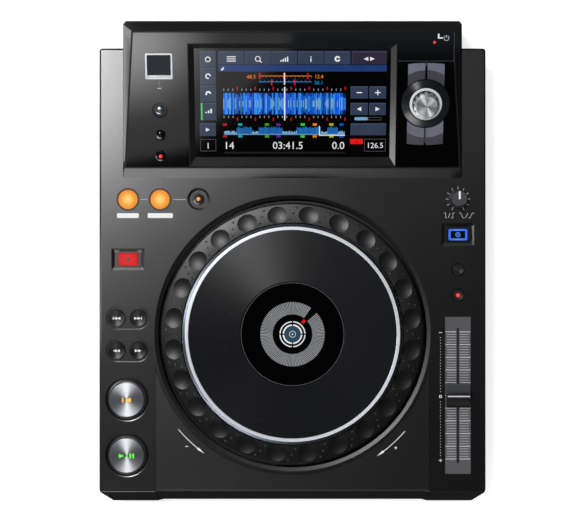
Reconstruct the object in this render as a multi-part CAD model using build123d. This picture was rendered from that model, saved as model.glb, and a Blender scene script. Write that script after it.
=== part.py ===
"""Tabletop player for mixing music, as an assembly of its separate pieces.

A flat deck carries a large jog wheel, rows of push buttons and a tempo fader. A raised display unit
slopes up behind it, with a touch screen, a storage port and a rotary selector. The sockets are in a
recess at the back. Millimetres, +X to the right, +Y to the back, +Z up. The origin is the middle of
the footprint, on the surface that the feet stand on.
"""

import os
from dataclasses import dataclass
from math import asin, atan2, cos, degrees, hypot, radians, sin, sqrt

from build123d import *

# ---- Plan of the body, worked out from the jog well -------------------------------------------
well_radius = 109.4
control_column = 43.6
front_margin = 28.6
rear_margin = 13.5
unit_depth = 127.1

body_height = 107.0
deck_z = 70.0
foot_height = 7.0
foot_radius = 11.0
foot_sole = 4.5
foot_hollow = 2.5
foot_inset_x = 29.0
foot_inset_front = 28.0
foot_inset_back = 22.0
chassis_gauge = 1.5
chassis_inset = 0.6
chassis_flange = 16.0
cover_wall = 3.0
front_wall = 5.5
front_rake = 12.0
nose_z = 30.0
corner_cut_x = 7.2
corner_cut_y = 13.6
edge_round = 1.5
shoulder_round = 2.4
hood_round = 0.8
bump_depth = 24.4
moving_gap = 0.3
seat_gap = 0.15

half_width = well_radius + control_column
body_depth = front_margin + 2 * well_radius + rear_margin + unit_depth
front_y = -body_depth / 2
back_y = body_depth / 2
jog_y = front_y + front_margin + well_radius
lip_y = jog_y + well_radius + rear_margin
deck_front_y = front_y + front_rake
shoulder_y = back_y - bump_depth
chassis_top = foot_height + chassis_gauge
deck_under = deck_z - cover_wall

# ---- Display unit -------------------------------------------------------------------------
unit_inset = 18.8
unit_draft = 0.27
lip_slope = 7.2
panel_front_rise = 6.5
back_slope = 15.6
skirt_top_z = 50.0
skirt_bottom_z = 42.0
unit_wall = 3.0
unit_rim = 1.2
fascia_gauge = 3.0

unit_half_width = half_width - unit_inset
panel_front_y = lip_y + lip_slope
panel_top_y = back_y - back_slope
panel_front_z = deck_z + panel_front_rise
panel_length = hypot(panel_top_y - panel_front_y, body_height - panel_front_z)
panel_angle = atan2(body_height - panel_front_z, panel_top_y - panel_front_y)
panel = Plane(
    origin=(0, panel_front_y, panel_front_z),
    x_dir=(1, 0, 0),
    z_dir=(0, -sin(panel_angle), cos(panel_angle)),
)

# ---- Screen (panel coordinates: x across, v up the slope, w out of the panel) ---------------
screen_inset = 57.8
screen_half_width = unit_half_width - screen_inset
screen_v0 = 8.4
screen_v1 = 94.6
screen_depth = 3.2
bezel_side = 4.8
bezel_top = 4.2
bezel_flange = 2.4
bezel_low = 4.4
glass_gauge = 2.0
glass_margin = 2.2
module_gauge = 5.6

# ---- Storage port on the panel --------------------------------------------------------------
port_inset = 30.7
port_v = 81.3
port_x = port_inset - unit_half_width
port_width = 21.0
port_height = 20.2
port_rise = 1.2
port_wall = 1.25
port_floor = 1.0
door_gauge = 1.6
door_height = 14.2
door_gap = 0.2
hinge_radius = 0.8
pivot_radius = 0.6
pivot_fit = 0.05
usb_shell_width = 14.0
usb_shell_height = 6.6
usb_shell_gauge = 0.4
usb_depth = 18.0

# ---- Rotary selector on the panel ------------------------------------------------------------
rotary_inset = 30.5
rotary_x = unit_half_width - rotary_inset
rotary_v = 51.9
collar_radius = 18.9
collar_height = 3.0
ring_outer = 12.6
ring_inner = 10.3
ring_height = 3.4
knob_radius = 9.9
knob_top_radius = 8.3
knob_height = 12.0
knob_lift = 1.3
knob_flutes = 14
flute_radius = 1.5
rotary_travel = 1.0
rotary_shaft_radius = 2.0
rotor_radius = 3.0
shaft_fit = 0.05
bushing_wall = 0.6
encoder_size = 13.4
encoder_depth = 7.0

# ---- Selector keys around the rotary ---------------------------------------------------------
key_half_gap = 0.85
key_reach = 14.1
key_top_v = 83.8
key_bottom_v = 19.1
key_crest_radius = 26.6
key_crest = 1.9
key_fall = 1.0
key_end_radius = 110.0
key_stem_inset = 6.5
panel_post_radius = 1.8

# ---- Jog wheel (radii from its own axis) -----------------------------------------------------
well_taper = 3.1
well_floor_z = 60.0
well_gauge = 2.0
well_flange = 3.4
jog_clearance = 6.4
jog_rim_width = 15.7
jog_skirt_z = 61.2
jog_skirt_wall = 2.4
jog_edge = 1.6
jog_rise = 15.6
jog_web_z = 72.0
jog_web_gauge = 2.5
jog_hub_radius = 15.0
bush_inner = 8.0
bush_outer = 11.0
bush_length = 15.5
post_fit = 0.05
post_flange_radius = 24.0
post_shoulder_radius = 12.0
post_top_z = 82.0
wire_bore_radius = 3.0
dimple_count = 24
dimple_inset = 7.9
dimple_sphere = 19.0
dimple_depth = 1.65
dimple_start = 97.3
platter_top = 19.5
platter_step = 6.0
platter_gauge = 2.5
platter_foot_inset = 9.3
platter_foot_width = 2.0
platter_travel = 0.4
label_radius = 40.9
display_gap = 0.5
trim_gap = 1.1
trim_flank = 2.3
trim_rise = 0.7
encoder_wheel_inner = 28.0
encoder_wheel_width = 27.0
encoder_wheel_drop = 7.2
encoder_wheel_gauge = 1.2
encoder_slots = 36
encoder_slot_length = 4.0
encoder_slot_width = 2.2

well_floor_radius = well_radius - well_taper
jog_outer = well_radius - jog_clearance
jog_inner = jog_outer - jog_rim_width
dimple_radius_at = jog_outer - dimple_inset
platter_radius = jog_inner - platter_step
trim_outer = jog_inner - trim_gap
trim_flat_outer = trim_outer - trim_flank
platter_ledge = trim_outer - 0.6
encoder_wheel_outer = encoder_wheel_inner + encoder_wheel_width

# ---- Deck controls ---------------------------------------------------------------------------
column_inset = 22.0
column_x = half_width - column_inset
seam_inside = 0.7
centre_seam_x = well_radius - seam_inside
seam_gap = 0.3
centre_gauge = 1.6
centre_set_back = 1.2
centre_bevel = 4.0
centre_edge = 1.0
well_rim = 2.8
well_bevel_width = 3.0
well_bevel_drop = 0.4

fader_from_front = 88.7
fader_y = front_y + fader_from_front
fader_travel = 50.0
fader_plate_width = 20.2
fader_plate_length = 124.4
fader_plate_gauge = 1.0
fader_pocket = 1.4
fader_slot_width = 2.2
fader_slot_length = 107.0
fader_body_width = 14.0
fader_body_length = 120.0
fader_body_depth = 12.0
cap_width = 18.6
cap_length = 19.6
cap_height = 9.4
cap_ridge = 4.6
cap_lift = 0.9
lever_width = 1.2

speed_y = lip_y - 16.7
speed_base_radius = 7.6
speed_top_radius = 6.1
speed_height = 14.0
speed_lift = 0.8
speed_shaft_radius = 2.95
pot_size = 14.0
pot_depth = 8.5

# ---- Buttons ---------------------------------------------------------------------------------
button_travel = 0.8
button_gap = 0.3
flange_reach = 0.9
flange_gauge = 1.0
flange_gap = 0.2
stem_radius = 1.6
board_drop = 11.4
board_gauge = 1.6
switch_height = 3.0
switch_size = 5.0
boss_radius = 2.0
boss_step = 13.5


@dataclass
class RoundButton:
    """A round push button: its place, size, how far it stands up, and the pocket around it."""

    name: str
    x: float
    y: float
    radius: float
    rise: float
    crown: float = 0.0
    pocket_radius: float = 0.0
    pocket_floor_radius: float = 0.0
    pocket_depth: float = 0.0
    inner_radius: float = 0.0
    inner_depth: float = 0.0


@dataclass
class SquareButton:
    """A rectangular push button in a bevelled pocket."""

    name: str
    x: float
    y: float
    width: float
    length: float
    rise: float
    pocket_width: float
    pocket_length: float
    pocket_depth: float = 1.6
    bevel: float = 2.4


left_x = -column_x
right_x = column_x
pair_left_x = left_x - 8.3
pair_right_x = left_x + 8.9
loop_y = lip_y - 17.0
direction_y = lip_y - 64.4
jog_mode_y = lip_y - 44.9
jog_mode_pocket = 18.1
tempo_gap = jog_mode_y - jog_mode_pocket / 2 - fader_y - fader_plate_length / 2
tempo_range_y = jog_mode_y - jog_mode_pocket / 2 - tempo_gap / 3
master_tempo_y = tempo_range_y - 0.36 * tempo_gap
search_y = jog_y - 13.8
track_y = search_y + 25.7
transport_radius = 13.6
transport_pitch = 44.1
play_y = front_y + 41.4
cue_y = play_y + transport_pitch
deck_round = [
    RoundButton("loop_in_button", left_x + 0.7, loop_y, 7.5, 1.2, 0.8, 8.8, 8.2, 1.2),
    RoundButton("loop_out_button", left_x + 26.1, loop_y, 7.5, 1.2, 0.8, 8.8, 8.2, 1.2),
    RoundButton("reloop_button", left_x + 56.6, loop_y + 0.3, 4.4, 1.2, 1.4, 8.9, 7.9, 1.3, 5.5, 2.2),
    RoundButton("track_back_button", pair_left_x, track_y, 6.8, 1.5, -0.5),
    RoundButton("track_next_button", pair_right_x, track_y, 6.8, 1.5, -0.5),
    RoundButton("search_back_button", pair_left_x, search_y, 6.8, 1.5, -0.5),
    RoundButton("search_forward_button", pair_right_x, search_y, 6.8, 1.5, -0.5),
    RoundButton("cue_button", left_x, cue_y, transport_radius, 2.2, 0.0, 16.7, 16.0, 1.6),
    RoundButton("play_button", left_x, play_y, transport_radius, 2.2, 0.0, 16.7, 16.0, 1.6),
    RoundButton("tempo_range_button", right_x, tempo_range_y, 4.5, 1.3, -0.4, 5.2, 4.9, 0.6),
    RoundButton("master_tempo_button", right_x, master_tempo_y, 4.5, 1.3, -0.4, 5.2, 4.9, 0.6),
]
deck_square = [
    SquareButton("direction_button", left_x + 0.6, direction_y, 15.0, 9.4, 0.8, 26.0, 17.3),
    SquareButton("jog_mode_button", right_x - 0.1, jog_mode_y, 15.6, 9.8, 0.8, 25.9, jog_mode_pocket),
]
panel_round = [
    RoundButton("usb_stop_button", port_x, 46.4, 3.5, 1.0, 1.2, 5.9, 5.2, 1.0, 4.3, 1.8),
    RoundButton("time_mode_button", port_x, 26.7, 4.1, 1.4, 1.4),
    RoundButton("quantize_button", port_x, 10.2, 4.0, 1.4, 0.6),
]
pill_length = 33.2
pill_width = 17.0
pill_depth = 0.7
pill_x = (pair_left_x + pair_right_x) / 2
metal_ring_height = 1.1
metal_ring_gap = 0.5

# ---- Inside and back ---------------------------------------------------------------------------
rear_gauge = 1.5
rear_recess = 8.0
vent_rows = 6
vent_pitch = 9.0
vent_front = 44.0
vent_spacing = 60.0
vent_length = 34.0
vent_width = 3.0
standoff_radius = 3.0
standoff_height = 6.0
screw_radius = 1.45
screw_head_radius = 3.0
screw_boss_radius = 3.5
screw_inset = 6.6
screw_x = half_width - screw_inset
screw_rows = (front_y + 22.0, jog_y + 36.0, shoulder_y - 19.6)
screw_length = 8.0
jack_radius = 4.15
jack_bore = 1.6
jack_length = 6.4
jack_flange = 1.2
jack_z = 25.0
jack_inset = 50.2
jack_right_x = unit_half_width - jack_inset
jack_places = (jack_right_x - 40.0, jack_right_x - 18.0, jack_right_x)
inlet_inset = 34.2
inlet_x = inlet_inset - unit_half_width
inlet_depth = 20.0
inlet_flange = 2.0
inlet_z = 25.5
inlet_well_width = 24.6
inlet_well_height = 17.2
inlet_well_depth = 15.5
lan_x = -12.0
usb_b_x = 14.0
power_x = inlet_x + 34.0
power_travel = 3.0
power_stem = 10.0

rear_face_y = back_y - rear_recess
rear_inner_y = rear_face_y - rear_gauge
board_z = chassis_top + standoff_height
board_top = board_z + board_gauge

processor = (32.0, 32.0, 6.0)
heat_sink = (20.0, 18.0, 9.0)
network_chip = (28.0, 20.0, 4.0)
transformer = (32.0, 34.0, 24.0)
choke = (20.0, 24.0, 14.0)
capacitor_radius = 4.0
capacitor_height = 12.0
mains_capacitor_radius = 7.0
mains_capacitor_height = 26.0
main_board_x0 = -32.0
main_board_x1 = unit_half_width - 10.2
main_board_y0 = lip_y + 11.1
main_board_y1 = rear_inner_y - 0.5
supply_width = 84.0
supply_length = 92.0
supply_x = -unit_half_width + 8.2
supply_y = shoulder_y - 17.6 - supply_length
standoff_inset = 6.0
control_board_edge = 5.0
control_board_well_gap = 5.8

parts = {}
ON_BASE = (Align.CENTER, Align.CENTER, Align.MIN)
LOW_CORNER = (Align.MIN, Align.MIN, Align.MIN)


# ---- Plain shapes ------------------------------------------------------------------------------
def cylinder(radius, z0, z1, x=0.0, y=0.0):
    """Upright cylinder between two heights."""
    return Pos(x, y, z0) * Cylinder(radius, z1 - z0, align=ON_BASE)


def tube(outer, inner, z0, z1, x=0.0, y=0.0):
    """Upright tube between two heights."""
    return cylinder(outer, z0, z1, x, y) - cylinder(inner, z0 - 1, z1 + 1, x, y)


def block(x0, x1, y0, y1, z0, z1):
    """Box between two corners."""
    return Pos(x0, y0, z0) * Box(x1 - x0, y1 - y0, z1 - z0, align=LOW_CORNER)


def centred(width, length, z0, z1, x=0.0, y=0.0, corner=0.0):
    """Upright box about a centre line, with rounded corners if asked."""
    outline = RectangleRounded(width, length, corner) if corner else Rectangle(width, length)
    return extrude(Pos(x, y, z0) * outline, amount=z1 - z0)


def turned(profile, x=0.0, y=0.0):
    """Solid of revolution about an upright axis, from (radius, height) points."""
    face = make_face(Polyline(*profile, close=True))
    return Pos(x, y, 0) * revolve(Plane.XZ * face, Axis.Z)


def side_prism(profile, x0, x1):
    """Prism across the body from (y, z) points, between two x planes."""
    face = Plane.YZ * make_face(Polyline(*profile, close=True))
    return Pos(x0, 0, 0) * extrude(face, amount=x1 - x0)


def bevelled_pocket(width, length, depth, bevel, x, y):
    """Rectangular pocket below z = 0 whose four walls slope in by the bevel."""
    mouth = Pos(x, y, 0) * Rectangle(width, length)
    floor = Pos(x, y, -depth) * Rectangle(width - bevel, length - bevel)
    return loft([mouth.face(), floor.face()]) + centred(width, length, 0, 1, x, y)


def on_panel(shape):
    """Shape drawn in panel coordinates, put in its place on the sloping panel."""
    return panel.location * shape


def unit_half_at(z):
    """Half width of the display unit's drafted sides at a height."""
    return unit_half_width - unit_draft * (z - deck_z)


# ---- Body shells -------------------------------------------------------------------------------
def body_prism(inset, front_inset, z0, z1):
    """The low body's outline with raked front and cut corners, pulled in by the insets."""
    rake = front_rake * (z1 - nose_z) / (deck_z - nose_z)
    profile = [
        (front_y + front_inset, z0),
        (front_y + front_inset, nose_z),
        (front_y + front_inset + rake, z1),
        (shoulder_y - inset, z1),
        (shoulder_y - inset, z0),
    ]
    prism = side_prism(profile, inset - half_width, half_width - inset)
    slant = hypot(corner_cut_x, corner_cut_y)
    normal = (corner_cut_y / slant, -corner_cut_x / slant)
    start = (half_width, front_y + corner_cut_y)
    end = (half_width - corner_cut_x, front_y)
    along = ((end[0] - start[0]) / slant, (end[1] - start[1]) / slant)
    reach = 40.0
    inner = [
        (start[0] - normal[0] * inset - along[0] * reach, start[1] - normal[1] * inset - along[1] * reach),
        (end[0] - normal[0] * inset + along[0] * reach, end[1] - normal[1] * inset + along[1] * reach),
    ]
    outer = [(x + normal[0] * reach, y + normal[1] * reach) for x, y in reversed(inner)]
    wedge = extrude(Pos(0, 0, z0 - 1) * make_face(Polyline(*inner, *outer, close=True)), amount=z1 - z0 + 2)
    return prism - wedge - mirror(wedge, about=Plane.YZ)


def centre_outline(grow, z0, z1):
    """The lower middle of the deck between the two seams, cut round the jog well's rim."""
    seam = centre_seam_x - seam_gap + grow
    rim = well_radius + well_rim - grow
    field = block(-seam, seam, front_y - 20, jog_y, z0, z1)
    return field - cylinder(rim, z0 - 1, z1 + 1, 0, jog_y)


def deck_bosses():
    """Posts under the deck: board supports, and long screw posts down to the chassis."""
    board_face = deck_under - board_drop + board_gauge
    left_rows = (loop_y - 15.8, (direction_y + track_y) / 2, search_y - 18)
    right_rows = (speed_y - 12.2, tempo_range_y - 9)
    places = [(left_x + step, y) for step in (-boss_step, boss_step) for y in left_rows]
    places += [(right_x + step, y) for step in (-boss_step, boss_step) for y in right_rows]
    posts = [cylinder(boss_radius, board_face, deck_under + 1, x, y) for x, y in places]
    for side in (-1, 1):
        for y in screw_rows:
            post = cylinder(screw_boss_radius, chassis_top, deck_under + 1, side * screw_x, y)
            end_z = chassis_top + screw_length + 1
            posts.append(post - cylinder(screw_radius + 0.05, chassis_top - 1, end_z, side * screw_x, y))
    return posts


def make_top_cover():
    """The deck with its side walls, bevelled well mouth, pockets and holes for the controls, and posts."""
    shell = body_prism(0, 0, chassis_top, deck_z)
    corners = shell.edges().filter_by(Axis.Z).group_by(Axis.Y)[-1]
    shell = fillet(corners, shoulder_round)
    shell = fillet(shell.faces().sort_by(Axis.Z)[-1].edges(), edge_round)
    shell -= body_prism(cover_wall, front_wall, chassis_top - 1, deck_under)
    inner_front = body_prism(centre_gauge, centre_gauge, 0, deck_z - centre_gauge)
    inner_front = Pos(0, centre_set_back, 0) * inner_front
    shell -= centre_outline(seam_gap, chassis_top - 1, deck_z + 1) - inner_front
    mouth = well_radius - well_bevel_width
    opening = [
        (0, nose_z),
        (mouth, nose_z),
        (mouth, deck_z - well_bevel_drop),
        (well_radius, deck_z),
        (well_radius, deck_z + 1),
        (0, deck_z + 1),
    ]
    shell -= turned(opening, 0, jog_y)
    inside = unit_half_width - unit_wall - 4.0
    shell -= block(-inside, inside, panel_front_y + 6, shoulder_y + 1, nose_z, deck_z + 1)
    shell -= block(-inside, inside, shoulder_y - cover_wall - 1, shoulder_y + 1, 0, deck_z)
    for button in deck_round:
        shell -= Pos(0, 0, deck_z) * button_hole(button, cover_wall)
    for button in deck_square:
        shell -= Pos(0, 0, deck_z) * square_hole(button)
    for row in (track_y, search_y):
        pill = Pos(pill_x, row, deck_z - pill_depth) * SlotOverall(pill_length, pill_width)
        shell -= extrude(pill, amount=2)
    plate_width = fader_plate_width + 2 * seat_gap
    plate_length = fader_plate_length + 2 * seat_gap
    shell -= centred(plate_width, plate_length, deck_z - fader_pocket, deck_z + 1, column_x, fader_y)
    shell -= centred(6, fader_slot_length + 3, nose_z, deck_z + 1, column_x, fader_y)
    shell -= cylinder(speed_shaft_radius + 0.6, nose_z, deck_z + 1, column_x, speed_y)
    for post in deck_bosses():
        shell += post
    return shell


def centre_section(x, set_back):
    """Section of the centre panel at one x: deck, softened edge, raked and upright front."""
    edge = centre_edge
    gauge = centre_gauge
    front = front_y + set_back
    top = deck_front_y + set_back
    points = [
        (front, chassis_top),
        (front, nose_z),
        (top - edge * 0.3, deck_z - edge),
        (top + edge, deck_z),
        (jog_y - 10, deck_z),
        (jog_y - 10, deck_z - gauge),
        (top + gauge - front_rake * gauge / (deck_z - nose_z), deck_z - gauge),
        (front + gauge, nose_z),
        (front + gauge, chassis_top),
    ]
    return Pos(x, 0, 0) * (Plane.YZ * make_face(Polyline(*points, close=True)))


def make_centre_panel():
    """Thin textured panel over the lower middle of the deck that turns down the front, set back."""
    outer = centre_seam_x + 1
    inner = centre_seam_x - centre_bevel
    panel_skin = extrude(centre_section(-inner, centre_set_back), amount=2 * inner)
    for side in (-1, 1):
        near = centre_section(side * inner, centre_set_back)
        far = centre_section(side * outer, 0.0)
        panel_skin += loft([near, far], ruled=True)
    return panel_skin & centre_outline(0, chassis_top, deck_z + 1)


def make_chassis():
    """Folded steel base: floor with vent slots, side flanges, board standoffs and screw holes."""
    plan = body_prism(chassis_inset, chassis_inset, 0, deck_z)
    plan &= block(-200, 200, -200, 200, foot_height, chassis_top)
    tail = unit_half_width + 0.2
    plan += block(-tail, tail, shoulder_y - 10, back_y - chassis_inset, foot_height, chassis_top)
    flange_x = half_width - cover_wall - seat_gap
    for side in (-1, 1):
        outer = side * flange_x
        inner = side * (flange_x - chassis_gauge)
        low, high = min(inner, outer), max(inner, outer)
        for first, last in zip(screw_rows, screw_rows[1:]):
            plan += block(low, high, first + 10, last - 10, foot_height, chassis_top + chassis_flange)
    for x, y in board_standoffs():
        plan += cylinder(standoff_radius, foot_height, board_z, x, y)
    for side in (-1, 1):
        for y in screw_rows:
            plan -= cylinder(screw_radius + 0.35, 0, 20, side * screw_x, y)
    for column in (-1, 0, 1):
        for row in range(vent_rows):
            y = front_y + vent_front + row * vent_pitch
            x = column * vent_spacing
            plan -= centred(vent_length, vent_width, foot_height - 1, chassis_top + 1, x, y)
    return plan


def board_standoffs():
    """Places of the posts under the main board and the power supply."""
    inset = standoff_inset
    boards = [
        (main_board_x0, main_board_x1, main_board_y0, main_board_y1),
        (supply_x, supply_x + supply_width, supply_y, supply_y + supply_length),
    ]
    places = []
    for x0, x1, y0, y1 in boards:
        places += [(x, y) for x in (x0 + inset, x1 - inset) for y in (y0 + inset, y1 - inset)]
    return places


def make_feet():
    """Four rubber feet with a recessed sole."""
    profile = [
        (0, foot_height),
        (foot_radius, foot_height),
        (foot_radius - 1, 1),
        (foot_radius - 2, 0),
        (foot_sole, 0),
        (foot_sole - 0.5, foot_hollow),
        (0, foot_hollow),
    ]
    foot_x = half_width - foot_inset_x
    rows = (front_y + foot_inset_front, back_y - foot_inset_back)
    places = [(x, y) for x in (-foot_x, foot_x) for y in rows]
    return Compound(children=[turned(profile, x, y) for x, y in places])


def make_screws():
    """Six pan-head screws that hold the chassis to the posts of the top cover."""
    tip = chassis_top + screw_length
    profile = [
        (0, tip),
        (screw_radius, tip - 1),
        (screw_radius, foot_height),
        (screw_head_radius, foot_height),
        (screw_head_radius - 0.6, foot_height - 1.6),
        (0, foot_height - 1.6),
    ]
    places = [(side * screw_x, y) for side in (-1, 1) for y in screw_rows]
    return Compound(children=[turned(profile, x, y) for x, y in places])


# ---- Display unit ------------------------------------------------------------------------------
def panel_outline(inset, w0, w1):
    """Trapezoid slab on the panel, pulled in from the unit's edges by the inset."""
    bottom = unit_half_at(panel_front_z) - inset
    top = unit_half_at(body_height) - inset
    corners = [
        (-bottom, inset),
        (bottom, inset),
        (top, panel_length - inset),
        (-top, panel_length - inset),
    ]
    return on_panel(extrude(Pos(0, 0, w0) * make_face(Polyline(*corners, close=True)), amount=w1 - w0))


def unit_trapezoid(inset):
    """Front view of the unit with its drafted sides, pulled in by the inset."""
    foot = unit_half_width - inset
    crown = unit_half_at(body_height + 10) - inset
    points = [
        (-foot, chassis_top - 1),
        (foot, chassis_top - 1),
        (foot, deck_z),
        (crown, body_height + 10),
        (-crown, body_height + 10),
        (-foot, deck_z),
    ]
    face = Plane.XZ * make_face(Polyline(*points, close=True))
    return Pos(0, back_y + 20, 0) * extrude(face, amount=body_depth)


def make_display_housing():
    """Hood of the display unit: drafted sides, sloping back, rim for the fascia, socket recess."""
    outer = [
        (lip_y, deck_z),
        (panel_front_y, panel_front_z),
        (panel_top_y, body_height),
        (back_y, skirt_top_z),
        (back_y, chassis_top),
        (shoulder_y, chassis_top),
        (shoulder_y, deck_z),
    ]
    hood = side_prism(outer, -half_width, half_width) & unit_trapezoid(0)
    bottom_corners = hood.edges().filter_by(Axis.Z).group_by(Axis.Y)[-1]
    hood = fillet(bottom_corners, hood_round)
    drop = panel_front_rise - (fascia_gauge + 0.2)
    inner = [
        (lip_y + unit_wall + 2, deck_z - 5),
        (lip_y + unit_wall + 2, deck_z + 0.4),
        (panel_front_y + unit_wall + 1.6, panel_front_z - drop + 1),
        (panel_front_y + unit_wall, body_height + 20),
        (panel_top_y - unit_wall, body_height + 20),
        (panel_top_y - unit_wall, body_height - unit_wall),
        (back_y - unit_wall - 1, skirt_top_z),
        (back_y - unit_wall - 1, skirt_bottom_z + 2.5),
        (rear_inner_y, skirt_bottom_z + 2.5),
        (rear_inner_y, skirt_bottom_z),
        (back_y + 1, skirt_bottom_z),
        (back_y + 1, 0),
        (shoulder_y - 10, 0),
        (shoulder_y - 10, deck_z - 5),
    ]
    cavity = side_prism(inner, -half_width, half_width) & unit_trapezoid(unit_wall)
    hood -= cavity
    return hood - panel_outline(unit_rim, -fascia_gauge, 30)


def screen_window(grow):
    """Cut-out in the fascia for the bezel, open at the panel's lower edge."""
    half = screen_half_width + bezel_side + grow
    return on_panel(block(-half, half, -5, screen_v1 + bezel_top + grow, -20, 20))


def make_fascia():
    """Glossy front panel of the display unit with its holes and board posts."""
    plate = panel_outline(unit_rim + seat_gap, -fascia_gauge, 0) - screen_window(seat_gap)
    port = centred(port_width + 2 * seat_gap, port_height + 2 * seat_gap, -10, 10, port_x, port_v, 1.2)
    plate -= on_panel(port)
    for button in panel_round:
        plate -= on_panel(button_hole(button, fascia_gauge))
    for side, upper in key_corners():
        plate -= on_panel(key_prism(side, upper, button_gap, -10, 10))
    bushing = rotor_radius + shaft_fit + bushing_wall
    plate -= on_panel(cylinder(bushing + seat_gap, -10, 10, rotary_x, rotary_v))
    posts = [(port_x + side * 14.8, v) for side in (-1, 1) for v in (8.5, 36.0)]
    posts += [(rotary_x + side * 16.8, rotary_v + step) for side in (-1, 1) for step in (-10, 10)]
    for x, v in posts:
        plate += on_panel(cylinder(panel_post_radius, board_w(), -fascia_gauge + 0.5, x, v))
    return plate


def board_w():
    """Front face of the boards behind the panel, in panel coordinates."""
    return -fascia_gauge - board_drop + board_gauge


def make_screen_bezel():
    """Frame with sloping inner walls between the fascia and the sunk glass."""
    wide = screen_half_width + bezel_side
    face_low = unit_rim + seat_gap
    face_high = screen_v1 + bezel_top
    upper = block(-wide, wide, face_low, face_high, -fascia_gauge, 0)
    skirt = wide + bezel_flange
    deep = -screen_depth - glass_gauge - module_gauge
    lower = block(-skirt, skirt, bezel_low, face_high + 1.4, deep, -fascia_gauge)
    face_middle = (face_low + face_high) / 2 + 0.1
    mouth = Pos(0, face_middle, 0.01) * Rectangle(2 * wide - 1, face_high - face_low - 0.8)
    glass_size = Rectangle(2 * screen_half_width, screen_v1 - screen_v0)
    seat = Pos(0, (screen_v0 + screen_v1) / 2, -screen_depth) * glass_size
    window = loft([mouth.face(), seat.face()])
    pocket_half = screen_half_width + glass_margin
    pocket_v0 = screen_v0 - glass_margin
    pocket_v1 = screen_v1 + glass_margin
    pocket = block(-pocket_half, pocket_half, pocket_v0, pocket_v1, deep - 1, -screen_depth)
    return on_panel(upper + lower - window - pocket)


def make_touch_screen():
    """Cover glass of the screen, held behind the bezel's inner edge."""
    half = screen_half_width + glass_margin - seat_gap
    low = screen_v0 - glass_margin + seat_gap
    high = screen_v1 + glass_margin - seat_gap
    return on_panel(block(-half, half, low, high, -screen_depth - glass_gauge, -screen_depth))


def make_display_module():
    """Liquid-crystal module with its driver board behind the glass."""
    half = screen_half_width + glass_margin - seat_gap - 1
    low = screen_v0 - glass_margin + seat_gap + 1
    high = screen_v1 + glass_margin - seat_gap - 1
    front = -screen_depth - glass_gauge
    module = block(-half, half, low, high, front - module_gauge, front)
    board = block(-45, 45, 30, 75, front - module_gauge - 3, front - module_gauge)
    return on_panel(module + board)


def make_usb_frame():
    """Bright frame round the storage port, with the floor that the socket looks through."""
    frame = centred(port_width, port_height, -fascia_gauge - port_floor, port_rise, port_x, port_v, 1.0)
    mouth_width = port_width - 2 * port_wall
    mouth_length = port_height - 2 * port_wall
    frame -= centred(mouth_width, mouth_length, -fascia_gauge, port_rise + 1, port_x, port_v, 0.6)
    slot_width = usb_shell_width + 2 * seat_gap
    frame -= centred(slot_width, usb_shell_height + 2 * seat_gap, -10, 1, port_x, port_v - 1)
    bore = Cylinder(pivot_radius + pivot_fit, port_width - 0.6)
    pivot = Pos(port_x, hinge_v(), hinge_w()) * Rot(0, 90, 0) * bore
    ledge = centred(mouth_width, 1.6, -fascia_gauge, -0.4, port_x, port_v - mouth_length / 2 + 0.8)
    return on_panel(frame - pivot + ledge)


def hinge_v():
    """Height up the slope of the port door's hinge line."""
    return port_v + port_height / 2 - port_wall - hinge_radius - 0.5


def hinge_w():
    """Height of the hinge line over the panel."""
    return 0.4


def make_usb_door():
    """Flap over the storage port, with a rounded hinge edge, two pivots and a finger scoop."""
    half = port_width / 2 - port_wall - door_gap
    top = hinge_w() + door_gauge / 2
    low = hinge_v() - door_height
    plate = block(port_x - half, port_x + half, low, hinge_v(), top - door_gauge, top)
    barrel = Pos(port_x, hinge_v(), hinge_w()) * Rot(0, 90, 0) * Cylinder(hinge_radius, 2 * half)
    pivots = Pos(port_x, hinge_v(), hinge_w()) * Rot(0, 90, 0) * Cylinder(pivot_radius, 2 * half + 1.6)
    scoop = Pos(port_x, low, top + 2.6) * Sphere(3.4)
    return on_panel(plate + barrel + pivots - scoop)


def make_usb_socket():
    """Storage socket: folded steel shell, contact tongue and closed back."""
    outer = centred(usb_shell_width, usb_shell_height, -fascia_gauge - usb_depth, -fascia_gauge - 0.2)
    hollow = centred(
        usb_shell_width - 2 * usb_shell_gauge,
        usb_shell_height - 2 * usb_shell_gauge,
        -fascia_gauge - usb_depth + 4,
        0,
    )
    tongue = centred(11.4, 1.9, -fascia_gauge - usb_depth + 3, -fascia_gauge - 2.2, 0, 1.2)
    return on_panel(Pos(port_x, port_v - 1, 0) * (outer - hollow + tongue))


def make_rotary_collar():
    """Sloping black collar round the rotary selector."""
    profile = [
        (ring_outer + seat_gap, 0),
        (collar_radius, 0),
        (collar_radius - 0.4, 0.8),
        (ring_outer + 0.9, collar_height),
        (ring_outer + seat_gap, collar_height),
    ]
    return on_panel(turned(profile, rotary_x, rotary_v))


def make_rotary_ring():
    """Bright ring inside the collar."""
    profile = [
        (ring_inner, 0),
        (ring_outer, 0),
        (ring_outer, ring_height - 0.5),
        (ring_outer - 0.5, ring_height),
        (ring_inner + 0.6, ring_height),
        (ring_inner, ring_height - 0.9),
    ]
    return on_panel(turned(profile, rotary_x, rotary_v))


def encoder_back():
    """Rear face of the encoder's body, which sits on its board."""
    return board_w()


def make_rotary_encoder():
    """Encoder body with its threaded bushing and the chamber that its rotor turns in."""
    back = encoder_back()
    front = -fascia_gauge
    bore = rotor_radius + shaft_fit
    body = centred(encoder_size, encoder_size, back, front, rotary_x, rotary_v)
    body += cylinder(bore + bushing_wall, front - 1, 0, rotary_x, rotary_v)
    body -= cylinder(bore, back + 2.4, 1, rotary_x, rotary_v)
    body -= cylinder(5.4, back + 3.5, back + 5.5, rotary_x, rotary_v)
    return on_panel(body - cylinder(rotary_shaft_radius + 0.4, back - 1, 1, rotary_x, rotary_v))


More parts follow.
